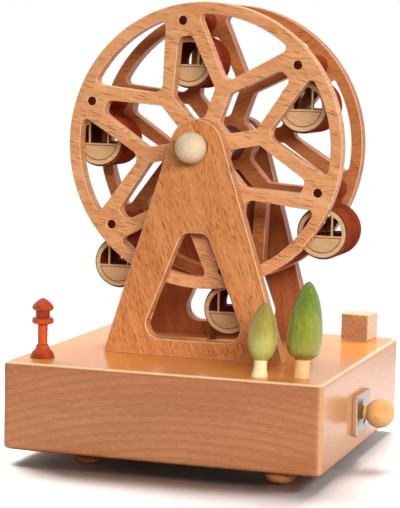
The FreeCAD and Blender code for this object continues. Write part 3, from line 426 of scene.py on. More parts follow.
class Wire:
    """A value inside a material. Arithmetic, steps and mixes of wires add their nodes."""

    def __init__(self, socket):
        self.socket = socket

    def into(self, kind, inputs=None, **settings):
        """Outputs of a new node that takes this wire at its first input."""
        return add(self.socket.id_data, kind, {0: self, **(inputs or {})}, **settings)

    def math(self, operation, *others, **settings):
        """This wire and the others, numbers or wires, by an operation."""
        others = dict(enumerate(others, 1))
        return self.into("ShaderNodeMath", others, operation=operation, **settings)[0]

    __add__ = partialmethod(math, "ADD")
    __sub__ = partialmethod(math, "SUBTRACT")
    __mul__ = partialmethod(math, "MULTIPLY")
    __abs__ = partialmethod(math, "ABSOLUTE")
    over = partialmethod(math, "MAXIMUM")

    def vector(self, operation, *others):
        """The same for vectors. A dot product or distance is a number."""
        made = self.into("ShaderNodeVectorMath", dict(enumerate(others, 1)), operation=operation)
        return made["Value" if operation in ("DOT_PRODUCT", "DISTANCE") else "Vector"]

    def step(self, low, high, out_low=0.0, out_high=1.0):
        """Smooth step from low to high."""
        return self.into("ShaderNodeMapRange", {1: low, 2: high, 3: out_low, 4: out_high},
                         interpolation_type="SMOOTHSTEP")[0]

    def fade(self, low, high):
        """Smooth step from 1 down to 0."""
        return self.step(low, high, 1.0, 0.0)

    def mix(self, a, b):
        """Colour a where this wire is 0, b where it is 1."""
        return self.into("ShaderNodeMix", {6: a, 7: b}, data_type="RGBA")[2]

    def scaled(self, factors, shift=(0.0, 0.0, 0.0)):
        """Vector times factors plus a shift, part by part."""
        return self.vector("MULTIPLY_ADD", factors, shift)

    def parts(self):
        """The vector's x, y and z."""
        made = self.into("ShaderNodeSeparateXYZ")
        return made[X], made[Y], made[Z]

    def noise(self, stretch, detail=2.0, rough=0.5):
        """Cloud value about one half at this vector times stretch."""
        return self.scaled(stretch).into("ShaderNodeTexNoise", {"Scale": 1.0, "Detail": detail,
                                                                "Roughness": rough})[0]

    def cells(self, stretch, shift=(0.0, 0.0, 0.0)):
        """Distance and colour of the nearest cell at this vector times stretch."""
        return self.scaled(stretch, shift).into("ShaderNodeTexVoronoi", {"Scale": 1.0})


def tone(color):
    """Linear colour from display values 0 to 255."""
    c = np.array(color) / 255
    c = np.where(c <= 0.04045, c / 12.92, ((c + 0.055) / 1.055) ** 2.4)
    return (float(c[0]), float(c[1]), float(c[2]), 1.0)


def feed(socket, value):
    """Joins a wire to a socket or sets its constant; three parts of a colour are display
    values, four are linear."""
    if isinstance(value, Wire):
        socket.id_data.links.new(value.socket, socket)
    elif socket.type == "RGBA" and len(value) == 3:
        socket.default_value = tone(value)
    else:
        socket.default_value = value


def wires(sockets):
    """Output sockets as wires, by number and by name."""
    return {key: Wire(socket) for i, socket in enumerate(sockets) for key in (i, socket.name)}


def add(nodes_of, kind, inputs=None, **settings):
    """New node of a tree with its settings and inputs; gives its outputs."""
    made = nodes_of.nodes.new(kind)
    for name, value in settings.items():
        setattr(made, name, value)
    for name, value in (inputs or {}).items():
        feed(made.inputs[name], value)
    return wires(made.outputs)


def group(name, inputs, outputs):
    """Empty node group with named sockets; gives its inputs as wires and its output sockets."""
    made = bpy.data.node_groups.new(name, "ShaderNodeTree")
    for label, kind, *value in inputs:
        socket = made.interface.new_socket(label, in_out="INPUT", socket_type=kind)
        if value:
            socket.default_value = value[0]
    for label, kind in outputs:
        made.interface.new_socket(label, in_out="OUTPUT", socket_type=kind)
    use, give = made.nodes.new("NodeGroupInput"), made.nodes.new("NodeGroupOutput")
    return made, wires(use.outputs), give.inputs


COLOR, FLOAT, VECTOR = "NodeSocketColor", "NodeSocketFloat", "NodeSocketVector"


def beech_group():
    """Beech: fibres drawn out along z, slow colour drift, a growth-ring line where the ring
    count passes a whole number, and short dark ray flecks from stretched cells. Points are
    millimetres with the grain along z; Fleck Reach is one over the flecks' size."""
    made, use, give = group("beech figure", [
        ("Point", VECTOR), ("Rings", FLOAT, 0.0), ("Pale", COLOR), ("Deep", COLOR), ("Fleck", COLOR),
        ("Fleck Share", FLOAT, 1.0), ("Fleck Reach", FLOAT, 1.0), ("Ring Share", FLOAT, 0.3)],
        [("Color", COLOR), ("Height", FLOAT), ("Gloss Change", FLOAT)])
    push = use["Point"].noise((0.05, 0.05, 0.022), 1.0) * 7.0 - 3.5
    swayed = use["Point"].vector("ADD", push.into("ShaderNodeCombineXYZ")[0])
    fibre = swayed.noise((2.0, 2.0, 0.09), 3.0, 0.6)
    drift = swayed.noise((0.11, 0.11, 0.02))
    fine = swayed.noise((2.6, 2.6, 0.45), 2.0, 0.7)
    body = fibre * 0.45 + drift * 0.6 + (fine * 0.8 - 0.4)
    color = body.step(0.3, 0.8).mix(use["Pale"], use["Deep"])
    ring = (use["Rings"] + drift * 0.9).math("FRACT")
    late = ring.step(0.35, 0.93) * ring.step(1.0, 0.93) * (fibre * 0.9 + 0.5)
    color = late.math("MULTIPLY", use["Ring Share"], use_clamp=True).mix(color, use["Deep"])
    sized = swayed.into("ShaderNodeVectorMath", {"Scale": use["Fleck Reach"]}, operation="SCALE")[0]
    masks = []
    for stretch, shift, depth in (((1.15, 0.12, 0.11), (0.0, 0.0, 0.0), 1.0),
                                  ((1.6, 0.15, 0.2), (7.3, 3.1, 5.2), 0.7),
                                  ((1.35, 0.18, 0.12), (2.9, 8.6, 1.7), 0.8)):
        cells = sized.cells(stretch, shift)
        seed = cells["Color"].into("ShaderNodeSeparateColor")
        wide = seed[1] * 0.18 + 0.2
        masks.append(cells["Distance"].fade(wide * 0.4, wide) * seed[0].step(0.25, 0.65) * depth)
    fleck = masks[0].over(masks[1]).over(masks[2])
    color = fleck.math("MULTIPLY", use["Fleck Share"], use_clamp=True).mix(color, use["Fleck"])
    feed(give["Color"], color)
    feed(give["Height"], fibre * 0.3 + (fleck * -0.6 + 0.6))
    feed(give["Gloss Change"], fibre * 0.3 + fleck * 0.4)
    return made


def stain_group():
    """Dark transparent stain: fibres along z take it unevenly, and pores stay darker."""
    made, use, give = group("stained figure", [("Point", VECTOR), ("Pale", COLOR), ("Deep", COLOR),
                                               ("Pore", COLOR)], [("Color", COLOR), ("Height", FLOAT)])
    fibre = use["Point"].noise((1.8, 1.8, 0.12), 3.0, 0.6)
    patch = use["Point"].noise((0.14, 0.14, 0.05))
    color = (fibre * 0.6 + patch * 0.6).step(0.4, 0.85).mix(use["Pale"], use["Deep"])
    pore = use["Point"].cells((1.6, 1.6, 0.3))["Distance"].fade(0.08, 0.22)
    feed(give["Color"], (pore * 0.5).mix(color, use["Pore"]))
    feed(give["Height"], fibre * 0.4 + (pore * -0.4 + 0.4))
    return made


BEECH = beech_group()
STAIN = stain_group()


def start(name, roughness=0.5, coat=0.0, coat_roughness=0.1, metallic=0.0, specular=0.5):
    """New material with its shader's own constants set; gives material and shader."""
    material = bpy.data.materials.new(name)
    material.use_nodes = True
    shader = material.node_tree.nodes["Principled BSDF"]
    for label, value in (("Roughness", roughness), ("Metallic", metallic), ("IOR", 1.5),
                         ("Specular IOR Level", specular), ("Coat Weight", coat),
                         ("Coat Roughness", coat_roughness)):
        shader.inputs[label].default_value = value
    return material, shader


def place_point(shader, turn=(0.0, 0.0, 0.0), shift=(0.0, 0.0, 0.0)):
    """Object coordinates in millimetres, turned by degrees so that the grain runs along z."""
    source = add(shader.id_data, "ShaderNodeTexCoord")["Object"]
    return source.into("ShaderNodeMapping", {"Location": shift, "Rotation": tuple(np.radians(turn)),
                                             "Scale": (1000.0, 1000.0, 1000.0)}, vector_type="POINT")[0]


def edge_mark(shader):
    """The mark that the patches carry."""
    named = {"attribute_name": "edge", "attribute_type": "GEOMETRY"}
    return add(shader.id_data, "ShaderNodeAttribute", **named)["Fac"]


def dress(shader, color, height, depth, roughness=None):
    """Joins the shader's colour, a bump of the given depth in millimetres, and a roughness
    that changes over the surface."""
    feed(shader.inputs["Base Color"], color)
    if roughness:
        feed(shader.inputs["Roughness"], roughness)
    relief = {"Height": height, "Distance": depth * MM, "Strength": 0.6}
    feed(shader.inputs["Normal"], add(shader.id_data, "ShaderNodeBump", relief)[0])


def beech(name, pale, deep, fleck, turn, shift, flecks, rings, ring_share=0.45, bow=None, roughness=0.42,
          coat=0.0, specular=0.3, edge_highlight=0.4, highlight_tone=(255, 226, 192), top_painted_light=None,
          side_painted_light=None):
    """Lacquered beech board. flecks is their share and size. Rings are counted along the
    vector rings, per millimetre, and bow (amount, centre) adds amount (x - centre)^2.
    Rounded edges are painted paler, a painted highlight along them. The pale and deep tones given
    for the base's top and right side paint those faces lighter: painted light."""
    material, shader = start(name, roughness, coat, 0.2, specular=specular)
    plain = place_point(shader)
    count = plain.vector("DOT_PRODUCT", rings)
    if bow:
        off = plain.parts()[X] - bow[1]
        count = off * off * bow[0] + count
    figure = add(shader.id_data, "ShaderNodeGroup", node_tree=BEECH, inputs={
        "Point": place_point(shader, turn, shift), "Rings": count, "Pale": pale, "Deep": deep,
        "Fleck": fleck, "Fleck Share": flecks[0], "Fleck Reach": 1.0 / flecks[1],
        "Ring Share": ring_share})
    color, height = figure["Color"], figure["Height"]
    # painted light: the base's right side and top are mixed towards paler tones of their own
    for tones, axis, low, high, share in ((side_painted_light, X, BASE_HALF - 1.8, BASE_HALF - 0.1, 0.7),
                                          (top_painted_light, Z, TOP_Z - 0.25, TOP_Z - 0.05, 0.85)):
        if tones:
            color = (plain.parts()[axis].step(low, high) * share).mix(color, height.mix(*tones))
    # painted highlight: the rounded edge arcs are mixed towards a pale tone
    mark = edge_mark(shader)
    color = (mark.step(0.05, 0.5) * mark.step(1.0, 0.8) * edge_highlight).mix(color, highlight_tone)
    dress(shader, color, height, 0.05, figure["Gloss Change"] * 0.25 + (roughness - 0.05))
    return material


def stained(name, pale, deep, pore, turn, roughness, coat, specular=0.2):
    """Stained and lacquered wood, darker where the edge mark is set: partly stain pooling and partly
    painted shade.
    """
    material, shader = start(name, roughness, coat, 0.2, specular=specular)
    figure = add(shader.id_data, "ShaderNodeGroup", node_tree=STAIN, inputs={
        "Point": place_point(shader, turn), "Pale": pale, "Deep": deep, "Pore": pore})
    # darker where marked: stain pooling and painted shade in grooves, steps and gaps
    pooled_stain_and_shade = edge_mark(shader).step(0.0, 1.0) * 0.7
    dress(shader, pooled_stain_and_shade.mix(figure["Color"], pore), figure["Height"], 0.04)
    return material


def tree_stain(name, foot_z, height, steps, turned_tone):
    """Transparent green stain that changes up the tree: colour steps over height, fine turned
    rings, and end-grain clouding."""
    material, shader = start(name, 0.42, 0.55, 0.16)
    point = place_point(shader)
    up = (point.parts()[Z] - foot_z).math("DIVIDE", height)
    ramp = (up + (point.noise((0.18, 0.18, 0.1)) * 0.24 - 0.12)).into("ShaderNodeValToRGB")[0]
    colors = ramp.socket.node.color_ramp
    colors.interpolation = "EASE"
    while len(colors.elements) < len(steps):
        colors.elements.new(0.5)
    for stop, (position, color) in zip(colors.elements, steps):
        stop.position, stop.color = position, tone(color)
    rings = point.noise((0.3, 0.3, 2.6))
    fibre = point.noise((1.5, 1.5, 0.06))
    color = rings.step(0.5, 0.75, 0.0, 0.3).mix(ramp, turned_tone)
    color = fibre.step(0.52, 0.7, 0.0, 0.2).mix(color, turned_tone)
    color = fibre.step(0.48, 0.32, 0.0, 0.2).mix(color, (196, 196, 96))
    dress(shader, color, rings * 0.5 + fibre * 0.3, 0.05)
    return material


def turned_wood(name, pale, deep, turn=(0.0, 0.0, 0.0), roughness=0.45, coat=0.15, fibre_size=1.0):
    """Turned piece in plain lacquered wood: fibres along the turned grain, cloudy patches and
    the fine rings that the lathe leaves across its axis."""
    material, shader = start(name, roughness, coat, 0.2)
    point = place_point(shader, turn)
    fibre = point.noise((1.7 * fibre_size, 1.7 * fibre_size, 0.16), 3.0, 0.6)
    cloud = point.noise((0.25, 0.25, 0.18))
    lathe = point.noise((0.2, 0.2, 3.0), 1.0)
    color = (fibre * 0.5 + cloud * 0.6).step(0.38, 0.8).mix(pale, deep)
    dress(shader, color, lathe * 0.4 + fibre * 0.3, 0.03)
    return material


def face_ply():
    """Pale laser-cut face. The chart is a hundredth of the millimetres about the disc's
    centre: walls (edge mark) and the rim are burnt, the scorch fades into the face near
    panes and uprights, and a burnt line follows the arc and the sill of the lower panel."""
    arc_r, sill_z, pane_r, pane_z = 7.35, -1.7, 7.45, -0.85
    material, shader = start("scorched pale face", 0.55, 0.08, 0.3)
    chart = add(shader.id_data, "ShaderNodeUVMap", uv_map="face chart")[0]
    x, z, _ = chart.scaled((100.0, 100.0, 0.0)).parts()
    radius = (x * x + z * z).math("SQRT")
    below = z.fade(sill_z + 0.03, sill_z + 0.15)
    arc_line = abs(radius - arc_r).fade(0.1, 0.3) * below
    cut = arc_line.over(abs(z - sill_z).fade(0.08, 0.26) * radius.fade(arc_r - 0.15, arc_r + 0.15))
    near_pane = z.step(pane_z - 0.25, pane_z) * radius.step(pane_r, 8.0, 0.8, 0.0)
    near_sill = abs(z - pane_z).step(0.0, 0.3, 0.6, 0.0) * radius.fade(7.4, 7.7)
    scorch = radius.step(8.85, 9.25).over(near_pane.over(near_sill) * 0.5)
    fibre = place_point(shader, (0.0, 78.0, 0.0)).noise((1.6, 1.6, 0.1), 3.0)
    color = fibre.step(0.35, 0.7).mix((216, 178, 132), (200, 158, 112))
    for share, darker in ((below * radius.fade(7.2, 7.4) * 0.45, (190, 148, 104)),
                          (scorch * 0.5, (126, 82, 48)), (radius.step(8.9, 9.25), (74, 42, 28)),
                          (cut * 0.85, (108, 68, 40)), (edge_mark(shader).step(0.1, 0.7), (58, 36, 24))):
        color = share.mix(color, darker)
    dress(shader, color, cut * -1.0 + fibre * 0.1, 0.2)
    return material


def metal(name, color, roughness, turn=(0.0, 0.0, 0.0), wall=None, tint=WHITE):
    """Brushed metal: fine lines across z change its gloss and shade. wall is a warm tone on its
    marked edges, a painted reflection of the wood beside them; tint is that of flat mirroring. Colours
    are linear."""
    material, shader = start(name, roughness, metallic=1.0)
    shader.inputs["Specular Tint"].default_value = tint
    point = place_point(shader, turn)
    lines = point.noise((0.15, 0.15, 9.0))
    cloud = point.noise((0.35, 0.35, 0.35), 1.0)
    shade = lines.step(0.35, 0.7).mix(color, tuple(0.82 * c for c in color[:3]) + (1.0,))
    if wall:
        shade = edge_mark(shader).mix(shade, wall)
    dress(shader, shade, lines, 0.012, lines * 0.16 + (cloud * 0.1 + (roughness - 0.13)))
    return material


def plain_stuff(name, color, deep, roughness, size=0.6):
    """Rubber or plastic: a fine mottle in shade and surface."""
    material, shader = start(name, roughness)
    mottle = place_point(shader).noise((size, size, size), 3.0)
    color = mottle.step(0.35, 0.7).mix(color, deep)
    dress(shader, color, mottle, 0.02, mottle * 0.2 + (roughness - 0.1))
    return material


# ------------------------------------------------------------ the finishes

wheel_front_beech = beech("front wheel beech", (230, 168, 117), (205, 135, 84), (140, 72, 38),
                          (0, -103, 0), (3, 0, 5), (0.95, 1.0), (0.03, 0.0, 0.14), edge_highlight=0.3)
# the rear wheel and rear frame take darker tones than the front ones: painted shade behind the front
# parts
rear_wheel_shaded_beech = beech("rear wheel beech in painted shade", (196, 124, 74), (168, 94, 52), (118, 58, 30),
                         (0, -84, 0), (40, 9, 70), (0.85, 0.9), (0.05, 0.0, 0.1))
frame_front_beech = beech("front frame beech", (219, 149, 92), (191, 117, 65), (118, 58, 30),
                          (0, -160, 0), (11, 4, 0), (1.0, 0.85), (0.16, 0.0, 0.05))
rear_frame_shaded_beech = beech("rear frame beech in painted shade", (164, 96, 56), (138, 72, 40), (92, 42, 22),
                         (0, -174, 0), (70, 30, 20), (0.75, 0.8), (0.18, 0.0, 0.02))
# the base's paler top and right-side tones and its edge highlight are painted light
base_beech = beech("base beech", (196, 128, 82), (172, 105, 64), (150, 88, 50), (0, 90, 0), (0, 0, 0),
                   (0.6, 0.4), (0.0, 0.012, 0.3), 0.7, (0.0007, 15.0), roughness=0.4, coat=0.8,
                   specular=0.0, edge_highlight=0.8, highlight_tone=(255, 218, 172),
                   top_painted_light=((255, 178, 94), (244, 154, 74)),
                   side_painted_light=((255, 192, 138), (216, 148, 98)))
block_beech = beech("block beech", (188, 142, 104), (164, 114, 80), (150, 86, 52),
                    (0, -120, 0), (20, 0, 0), (0.6, 0.7), (0.4, 0.1, 0.35), 0.7, edge_highlight=0.6)
cover_wood = beech("cover board", (212, 172, 126), (190, 148, 104), (150, 104, 66),
                   (0, 90, 0), (0, 30, 0), (0.6, 1.0), (0.0, 0.2, 0.0), 0.25, edge_highlight=0.0)
# the feet take tones darker than the base as painted shade under its overhang
shaded_foot_beech = turned_wood("foot beech in painted shade", (186, 116, 68), (158, 92, 52))
dowel_beech = turned_wood("dowel beech", (222, 176, 128), (200, 150, 102), (90, 0, 0))
pale_ball = turned_wood("pale ball", (226, 202, 170), (212, 184, 148), (0, 90, 0), 0.5, 0.1, 0.7)
honey_knob = turned_wood("honey knob", (232, 178, 112), (214, 154, 88), (0, 90, 0), 0.45, 0.15, 0.8)
trunk_pale = turned_wood("pale trunk", (250, 230, 182), (238, 210, 158), coat=0.1)
trunk_warm = turned_wood("warm trunk", (238, 196, 142), (220, 172, 116), coat=0.1)
drum_stain = stained("red-brown stain", (158, 68, 42), (122, 46, 28), (60, 22, 14), (0, 90, 0), 0.5,
                     0.0, 0.0)
pin_stain = stained("pin stain", (82, 20, 4), (60, 10, 2), (24, 4, 2), (90, 0, 0), 0.6, 0.0)
hub_stain = stained("hub stain", (92, 40, 30), (66, 28, 22), (38, 16, 12), (90, 0, 0), 0.5, 0.1)
lamp_red = stained("lamp red", (214, 86, 38), (160, 52, 22), (96, 30, 12), (0, 0, 0), 0.35, 0.35)
small_green = tree_stain("small tree stain", TOP_Z + 5.9, 20.2,
                         [(0.0, (176, 180, 92)), (0.3, (188, 180, 90)), (0.62, (166, 146, 60)),
                          (1.0, (148, 128, 44))], (132, 120, 42))
tall_green = tree_stain("tall tree stain", TOP_Z + 6.4, 27.6,
                        [(0.0, (120, 110, 34)), (0.12, (148, 142, 48)), (0.45, (136, 142, 42)),
                         (0.8, (100, 122, 28)), (1.0, (92, 126, 34))], (86, 102, 22))
scorched_face = face_ply()
steel = metal("bright steel", (0.60, 0.57, 0.53, 1.0), 0.36)
# the warm wall tone on the crank plate's edges is a painted reflection of the wood
plate_metal = metal("crank plate metal", (0.50, 0.45, 0.41, 1.0), 0.34,
                    wall=(0.92, 0.70, 0.48, 1.0), tint=(0.72, 0.68, 0.66, 1.0))
brass = metal("satin brass", (0.80, 0.58, 0.26, 1.0), 0.35, (90, 0, 0))
gear_white = plain_stuff("white gear plastic", (240, 238, 230), (226, 222, 212), 0.45)
rubber = plain_stuff("dark belt rubber", (124, 68, 38), (100, 54, 30), 0.75, 1.2)


# ------------------------------------------------------------ wheel

def pin_place(a):
    """A pin's place about the axle."""
    return PIN_CIRCLE_R * math.cos(a), PIN_CIRCLE_R * math.sin(a)


def wheel_board(name, span, material, node):
    """Round plate with six kite and six rim openings, six pin bores and the axle's bore, all
    about the axle."""
    holes = []
    for a in PIN_ANGLES:
        for (points, away), angle in ((kite_window(), a), (rim_window(), a - math.pi / 6)):
            holes.append((points @ spun(angle), away @ spun(angle)))
        holes.append(circle(pin_place(a), PIN_BORE_R, 24))
    holes.append(circle((0, 0), BORE_R, 32))
    edges = [0.45] + [0.4, 0.4, 0.3] * 6 + [0.2]
    patches = board(circle((0, 0), WHEEL_R, 200), holes, span, (0, AXLE_Z), edges)
    piece(name, patches, material, "wheel", node)


def pin_rods():
    """Six pins from face to face of the two plates, each end a low dome in its bore."""
    length = REAR_BOARD[1] - FRONT_BOARD[0]
    tip = [(0, 0.15), (0.7, 0.18), (1.05, 0.25)]
    run = [tip, bend(1.05, 0.8, 0.55, -90, 0, 6), [(1.6, 0.8), (1.6, length - 0.8)],
           bend(1.05, length - 0.8, 0.55, 0, 90, 6), [(r, length - h) for r, h in tip[::-1]]]
    # marks darken each end's centre and the ring at its rim; the rim ring is painted shade of the gap
    # round the pin
    lip = [0.0, 0.1, 0.3, 0.7, 1.3, 1.4]
    marks = [[1.3, 0.3, 0.0], lip, 0.0, lip[::-1], [0.0, 0.3, 1.3]]
    patches = []
    for a in PIN_ANGLES:
        x, z = pin_place(a)
        patches += turned(run, (x, FRONT_BOARD[0], AXLE_Z + z), Y, 28, marks)
    piece("wheel_pins", patches, pin_stain, "wheel", "gondola_pins")


def hub_piece():
    """Dark turned hub between the plates, of radius 7 with two shallow beads."""
    radius, length = 7.0, REAR_BOARD[0] - FRONT_BOARD[1]
    low, high = (bend(7.3, h, 0.58, 239, 121, 5) for h in (8.7, 17.5))
    run = (straight((BORE_R, length), (BORE_R, 0), (6.6, 0)) + [bend(6.6, 0.4, 0.4, -90, 0, 4)]
           + [[(radius, 0.4), low[0]], low, [low[-1], high[0]], high, [high[-1], (radius, length - 0.4)]]
           + [bend(6.6, length - 0.4, 0.4, 0, 90, 4)] + straight((6.6, length), (BORE_R, length)))
    piece("wheel_hub", turned(run, (0, FRONT_BOARD[1], AXLE_Z), Y, 64), hub_stain, "wheel", "hub_spacer")


def axle_ball(name, centre_y, towards, node):
    """Ball with a bore that faces the wheel and ends 1.2 beyond the ball's centre."""
    radius, beyond = 5.8, 1.2
    mouth = math.degrees(math.acos(BORE_R / radius))
    lip = math.sqrt(radius ** 2 - BORE_R ** 2)
    run = [bend(0, 0, radius, mouth, -90, 40)[::-1]]
    run += straight((BORE_R, lip), (BORE_R, -beyond), (0, -beyond))
    flip = np.array([1.0, float(towards), 1.0])
    patches = [(p * flip + np.array([0, centre_y, AXLE_Z]), n * flip, f, m)
               for p, n, f, m in turned(run, (0, 0, 0), Y, 64)]
    piece(name, patches, pale_ball, "wheel", node)


def axle_pulley():
    """Belt pulley with a boss of radius 7 that stands out in front: flat sides, rounded lips
    and a groove with a round bottom."""
    half, radius, lip_r, groove_r, boss_r = 3.0, 9.0, 0.3, 1.3, 7.0
    front, lip, boss_lip = -half - 1.5, radius - lip_r, boss_r - lip_r
    run = (straight((BORE_R, half), (BORE_R, front), (boss_lip, front))
           + [bend(boss_lip, front + lip_r, lip_r, -90, 0, 4)]
           + straight((boss_r, front + lip_r), (boss_r, -half), (lip, -half))
           + [bend(lip, -half + lip_r, lip_r, -90, 0, 4)]
           + straight((radius, -half + lip_r), (radius, -groove_r), (BELT_R, -groove_r))
           + [bend(BELT_R, 0, groove_r, 270, 90, 13)]
           + straight((BELT_R, groove_r), (radius, groove_r), (radius, half - lip_r))
           + [bend(lip, half - lip_r, lip_r, 0, 90, 4)] + straight((lip, half), (BORE_R, half)))
    piece("axle_belt_pulley", turned(run, (0, BELT_Y, AXLE_Z), Y), gear_white, "wheel", "axle_pulley")


# ------------------------------------------------------------ gondolas

def gondola(name, a):
    """Keyhole block with a cabin through it and a bore for the pin at angle a, between two
    thin round faces with three panes."""
    pin_x, pin_z = pin_place(a)
    x, z = pin_x, AXLE_Z + pin_z - DROP
    drum, face_r, bar_in, bar_out, past = (-5.8, 14.1), 9.4, 3.35, 4.2, 9.0
    patches = board(keyhole(), [cabin_window(), circle((0, DROP), PIN_BORE_R, 24)], drum, (x, z),
                    [0.35, 0.3, 0.2], wall_mark=0.0)
    piece(name + "_block", patches, drum_stain, name, name + "_drum")
    panes = [pane(-bar_in, bar_in), pane(bar_out, past), pane(-past, -bar_out)]

    def chart(points):
        """Hundredths of the millimetres across and up from the disc's centre."""
        return (points[:, [X, Z]] - (x, z)) / 100.0

    for side, span in (("front", (-7.1, -5.81)), ("rear", (14.11, 15.4))):
        patches = board(circle((0, 0), face_r, 72), panes, span, (x, z), [0.08] * 4, steps=1)
        piece("%s_%s_disc" % (name, side), patches, scorched_face, name, "%s_%s_face" % (name, side),
              chart)


# ------------------------------------------------------------ stand

def a_frame_board(name, low, material, node, lean=0.0):
    """Tapering frame with its rounded window and the bush's bore. lean moves each point
    sideways by lean times its height about the axle, so that the foot stands off."""
    outline, window = [(p + lean * p[:, 1:] * [1, 0], n) for p, n in (frame_outline(), frame_window())]
    patches = board(outline, [window, circle((0, 0), BUSH_BORE_R, 36)], (low, low + FRAME_THICK),
                    (0, AXLE_Z), [0.5, 0.5, 0.2])
    piece(name, patches, material, "stand", node)


def base_block():
    """Hollow block: rings of a rounded square are carried round its section, from the top
    face over an edge arc, down the wall, under the foot edge, into the cover's recess and up
    the cavity to its ceiling. The belt's two holes go through the top, and the crank bush's
    bore through the right wall, whose flat middle is a face of its own inside and outside."""
    q = np.linspace(0, math.pi / 2, 9)
    wall_low, wall_high, inner_corner = UNDER_Z + BASE_EDGE_R, 33.2, 0.6
    hole_r, hole_edge, bore_count, hole_count = 2.3, 0.4, 36, 28

    def rim(a, top):
        """Step of the sweep on an edge arc, at angle a from its flat face."""
        sink = BASE_EDGE_R * (1 - math.cos(a))
        # bright is a painted highlight along the upper part of each top edge arc; the last number is a
        # faint painted highlight on the upright corners
        bright = 0.6 * max(math.sin(min(2.8 * a, math.pi)), 0.0) ** 1.2
        z, up, mark = (TOP_Z - sink, math.cos(a), bright) if top else (UNDER_Z + sink, -math.cos(a), 0.0)
        return (BASE_HALF - BASE_EDGE_R * (1 - math.sin(a)), BASE_CORNER_R, z, math.sin(a), up, mark,
                0.17 * math.sin(a))

    def opened(patch, row):
        """The patch without its right face in a row, which lies between the last corner and
        the first."""
        points, normals, faces, marks = patch
        return points, normals, np.delete(faces, (row + 1) * 4 * len(q) - 1, axis=0), marks

    def bored(x, half, low, high, facing):
        """Flat wall at x from -half to half and low to high, with the crank bush's bore."""
        corners = np.array([(-half, low), (half, low), (half, high), (-half, high)], float)
        return cap([corners, circle((SHAFT_Y, SHAFT_Z), BORE_R, bore_count)[0]], X, x, facing)

    # the wall's rows carry the same faint painted highlight on the upright corners
    wall = ([rim(a, True) for a in q] + [(BASE_HALF, BASE_CORNER_R, wall_high, 1, 0, 0.0, 0.17)]
            + [rim(a, False) for a in q[::-1]])
    path = [(BASE_HALF - BASE_EDGE_R, BASE_CORNER_R, UNDER_Z), (RECESS_HALF, 4, UNDER_Z),
            (RECESS_HALF, 4, RECESS_Z), (CAVITY_HALF, inner_corner, RECESS_Z),
            (CAVITY_HALF, inner_corner, CEILING_Z)]
    patches = [opened(square_sweep(wall), len(q))]
    for i, way in enumerate([(0, -1), (-1, 0)] * 2):
        patches.append(square_sweep([(*place, *way, 0.0, 0.0) for place in path[i:i + 2]]))
    patches[-1] = opened(patches[-1], 0)
    patches += [bored(BASE_HALF, BASE_HALF - BASE_CORNER_R, wall_low, wall_high, 1),
                bored(CAVITY_HALF, CAVITY_HALF - inner_corner, RECESS_Z, CEILING_Z, -1)]
    bore = [[(BORE_R, BASE_HALF), (BORE_R, CAVITY_HALF)]]
    patches += turned(bore, (0, SHAFT_Y, SHAFT_Z), X, bore_count)
    for half, corner, radius, z, facing in (
            (BASE_HALF - BASE_EDGE_R, BASE_CORNER_R, hole_r + hole_edge, TOP_Z, 1),
            (CAVITY_HALF, inner_corner, hole_r, CEILING_Z, -1)):
        lines = [rounded_square(half, corner)[0]]
        lines += [circle((x, BELT_Y), radius, hole_count)[0] for x in (-BELT_R, BELT_R)]
        patches.append(cap(lines, Z, z, facing))
    for x in (-BELT_R, BELT_R):
        run = [[(hole_r, TOP_Z - hole_edge), (hole_r, CEILING_Z)],
               bend(hole_r + hole_edge, TOP_Z - hole_edge, hole_edge, 90, 180, 4)]
        patches += turned(run, (x, BELT_Y, 0), Z, hole_count)
    piece("base_block", patches, base_beech, "stand", "base_body")


def feet():
    """Four low domes: an arc from a small flat up to a straight rim."""
    side = through([(2.6, 0.0), (4.25, 0.6), (5.42, 1.7), (6.02, 2.9), (6.3, 4.0)], 14)
    run = [[(0, 0), (2.6, 0)], side, [(6.3, 4.0), (6.3, 4.8)], bend(6.1, 4.8, 0.2, 0, 90, 3),
           [(6.1, UNDER_Z), (0, UNDER_Z)]]
    patches = []
    for x, y in ((-31, -46), (43, -50), (43, 47), (-43, 47)):
        patches += turned(run, (x, y, 0), Z, 48)
    piece("base_feet", patches, shaded_foot_beech, "stand", "feet")


def belt_loop():
    """Round belt: a circle of radius 1 carried along a stadium between the two shaft heights;
    the path's outward ray and y span the circle."""
    t = np.linspace(0, math.pi, 33)
    out = lifted(np.vstack([rays(t + math.pi), rays(t)]), Y, 0.0)
    centre = BELT_R * out + (0.0, BELT_Y, 0.0)
    centre[:, Z] += np.repeat([SHAFT_Z, AXLE_Z], len(t))
    b = np.linspace(0, 2 * math.pi, 17)
    normal = np.cos(b)[:, None, None] * out + np.sin(b)[:, None, None] * np.eye(3)[Y]
    piece("drive_belt", [grid(centre + normal, normal)], rubber, "stand", "belt")


def plate_and_screws():
    """Crank plate: a rounded rectangle with a small edge arc, and two round-headed screws."""
    half_y, half_z, outer = 10.25, 7.6, BASE_HALF + 1.9
    corners = [(-half_y, -half_z), (half_y, -half_z), (half_y, half_z), (-half_y, half_z)]
    patches = board(rounded(corners, [1.2] * 4), [circle((0, 0), BORE_R, 40)], (BASE_HALF, outer),
                    (SHAFT_Y, SHAFT_Z), [0.4, 0.15], X)
    piece("crank_side_plate", patches, plate_metal, "stand", "crank_plate")
    run = [[(0, 0), (0.7, 0), (1.25, 0)], [(1.25, 0), (1.25, 0.12)],
           through([(1.25, 0.12), (1.12, 0.38), (0.8, 0.54), (0.4, 0.6), (0, 0.6)], 9)]
    patches = []
    for y, z in ((2.5, -4.1), (-2.5, 4.1)):
        patches += turned(run, (outer, SHAFT_Y + y, SHAFT_Z + z), X, 28)
    piece("crank_plate_tacks", patches, steel, "stand", "crank_plate_screws")


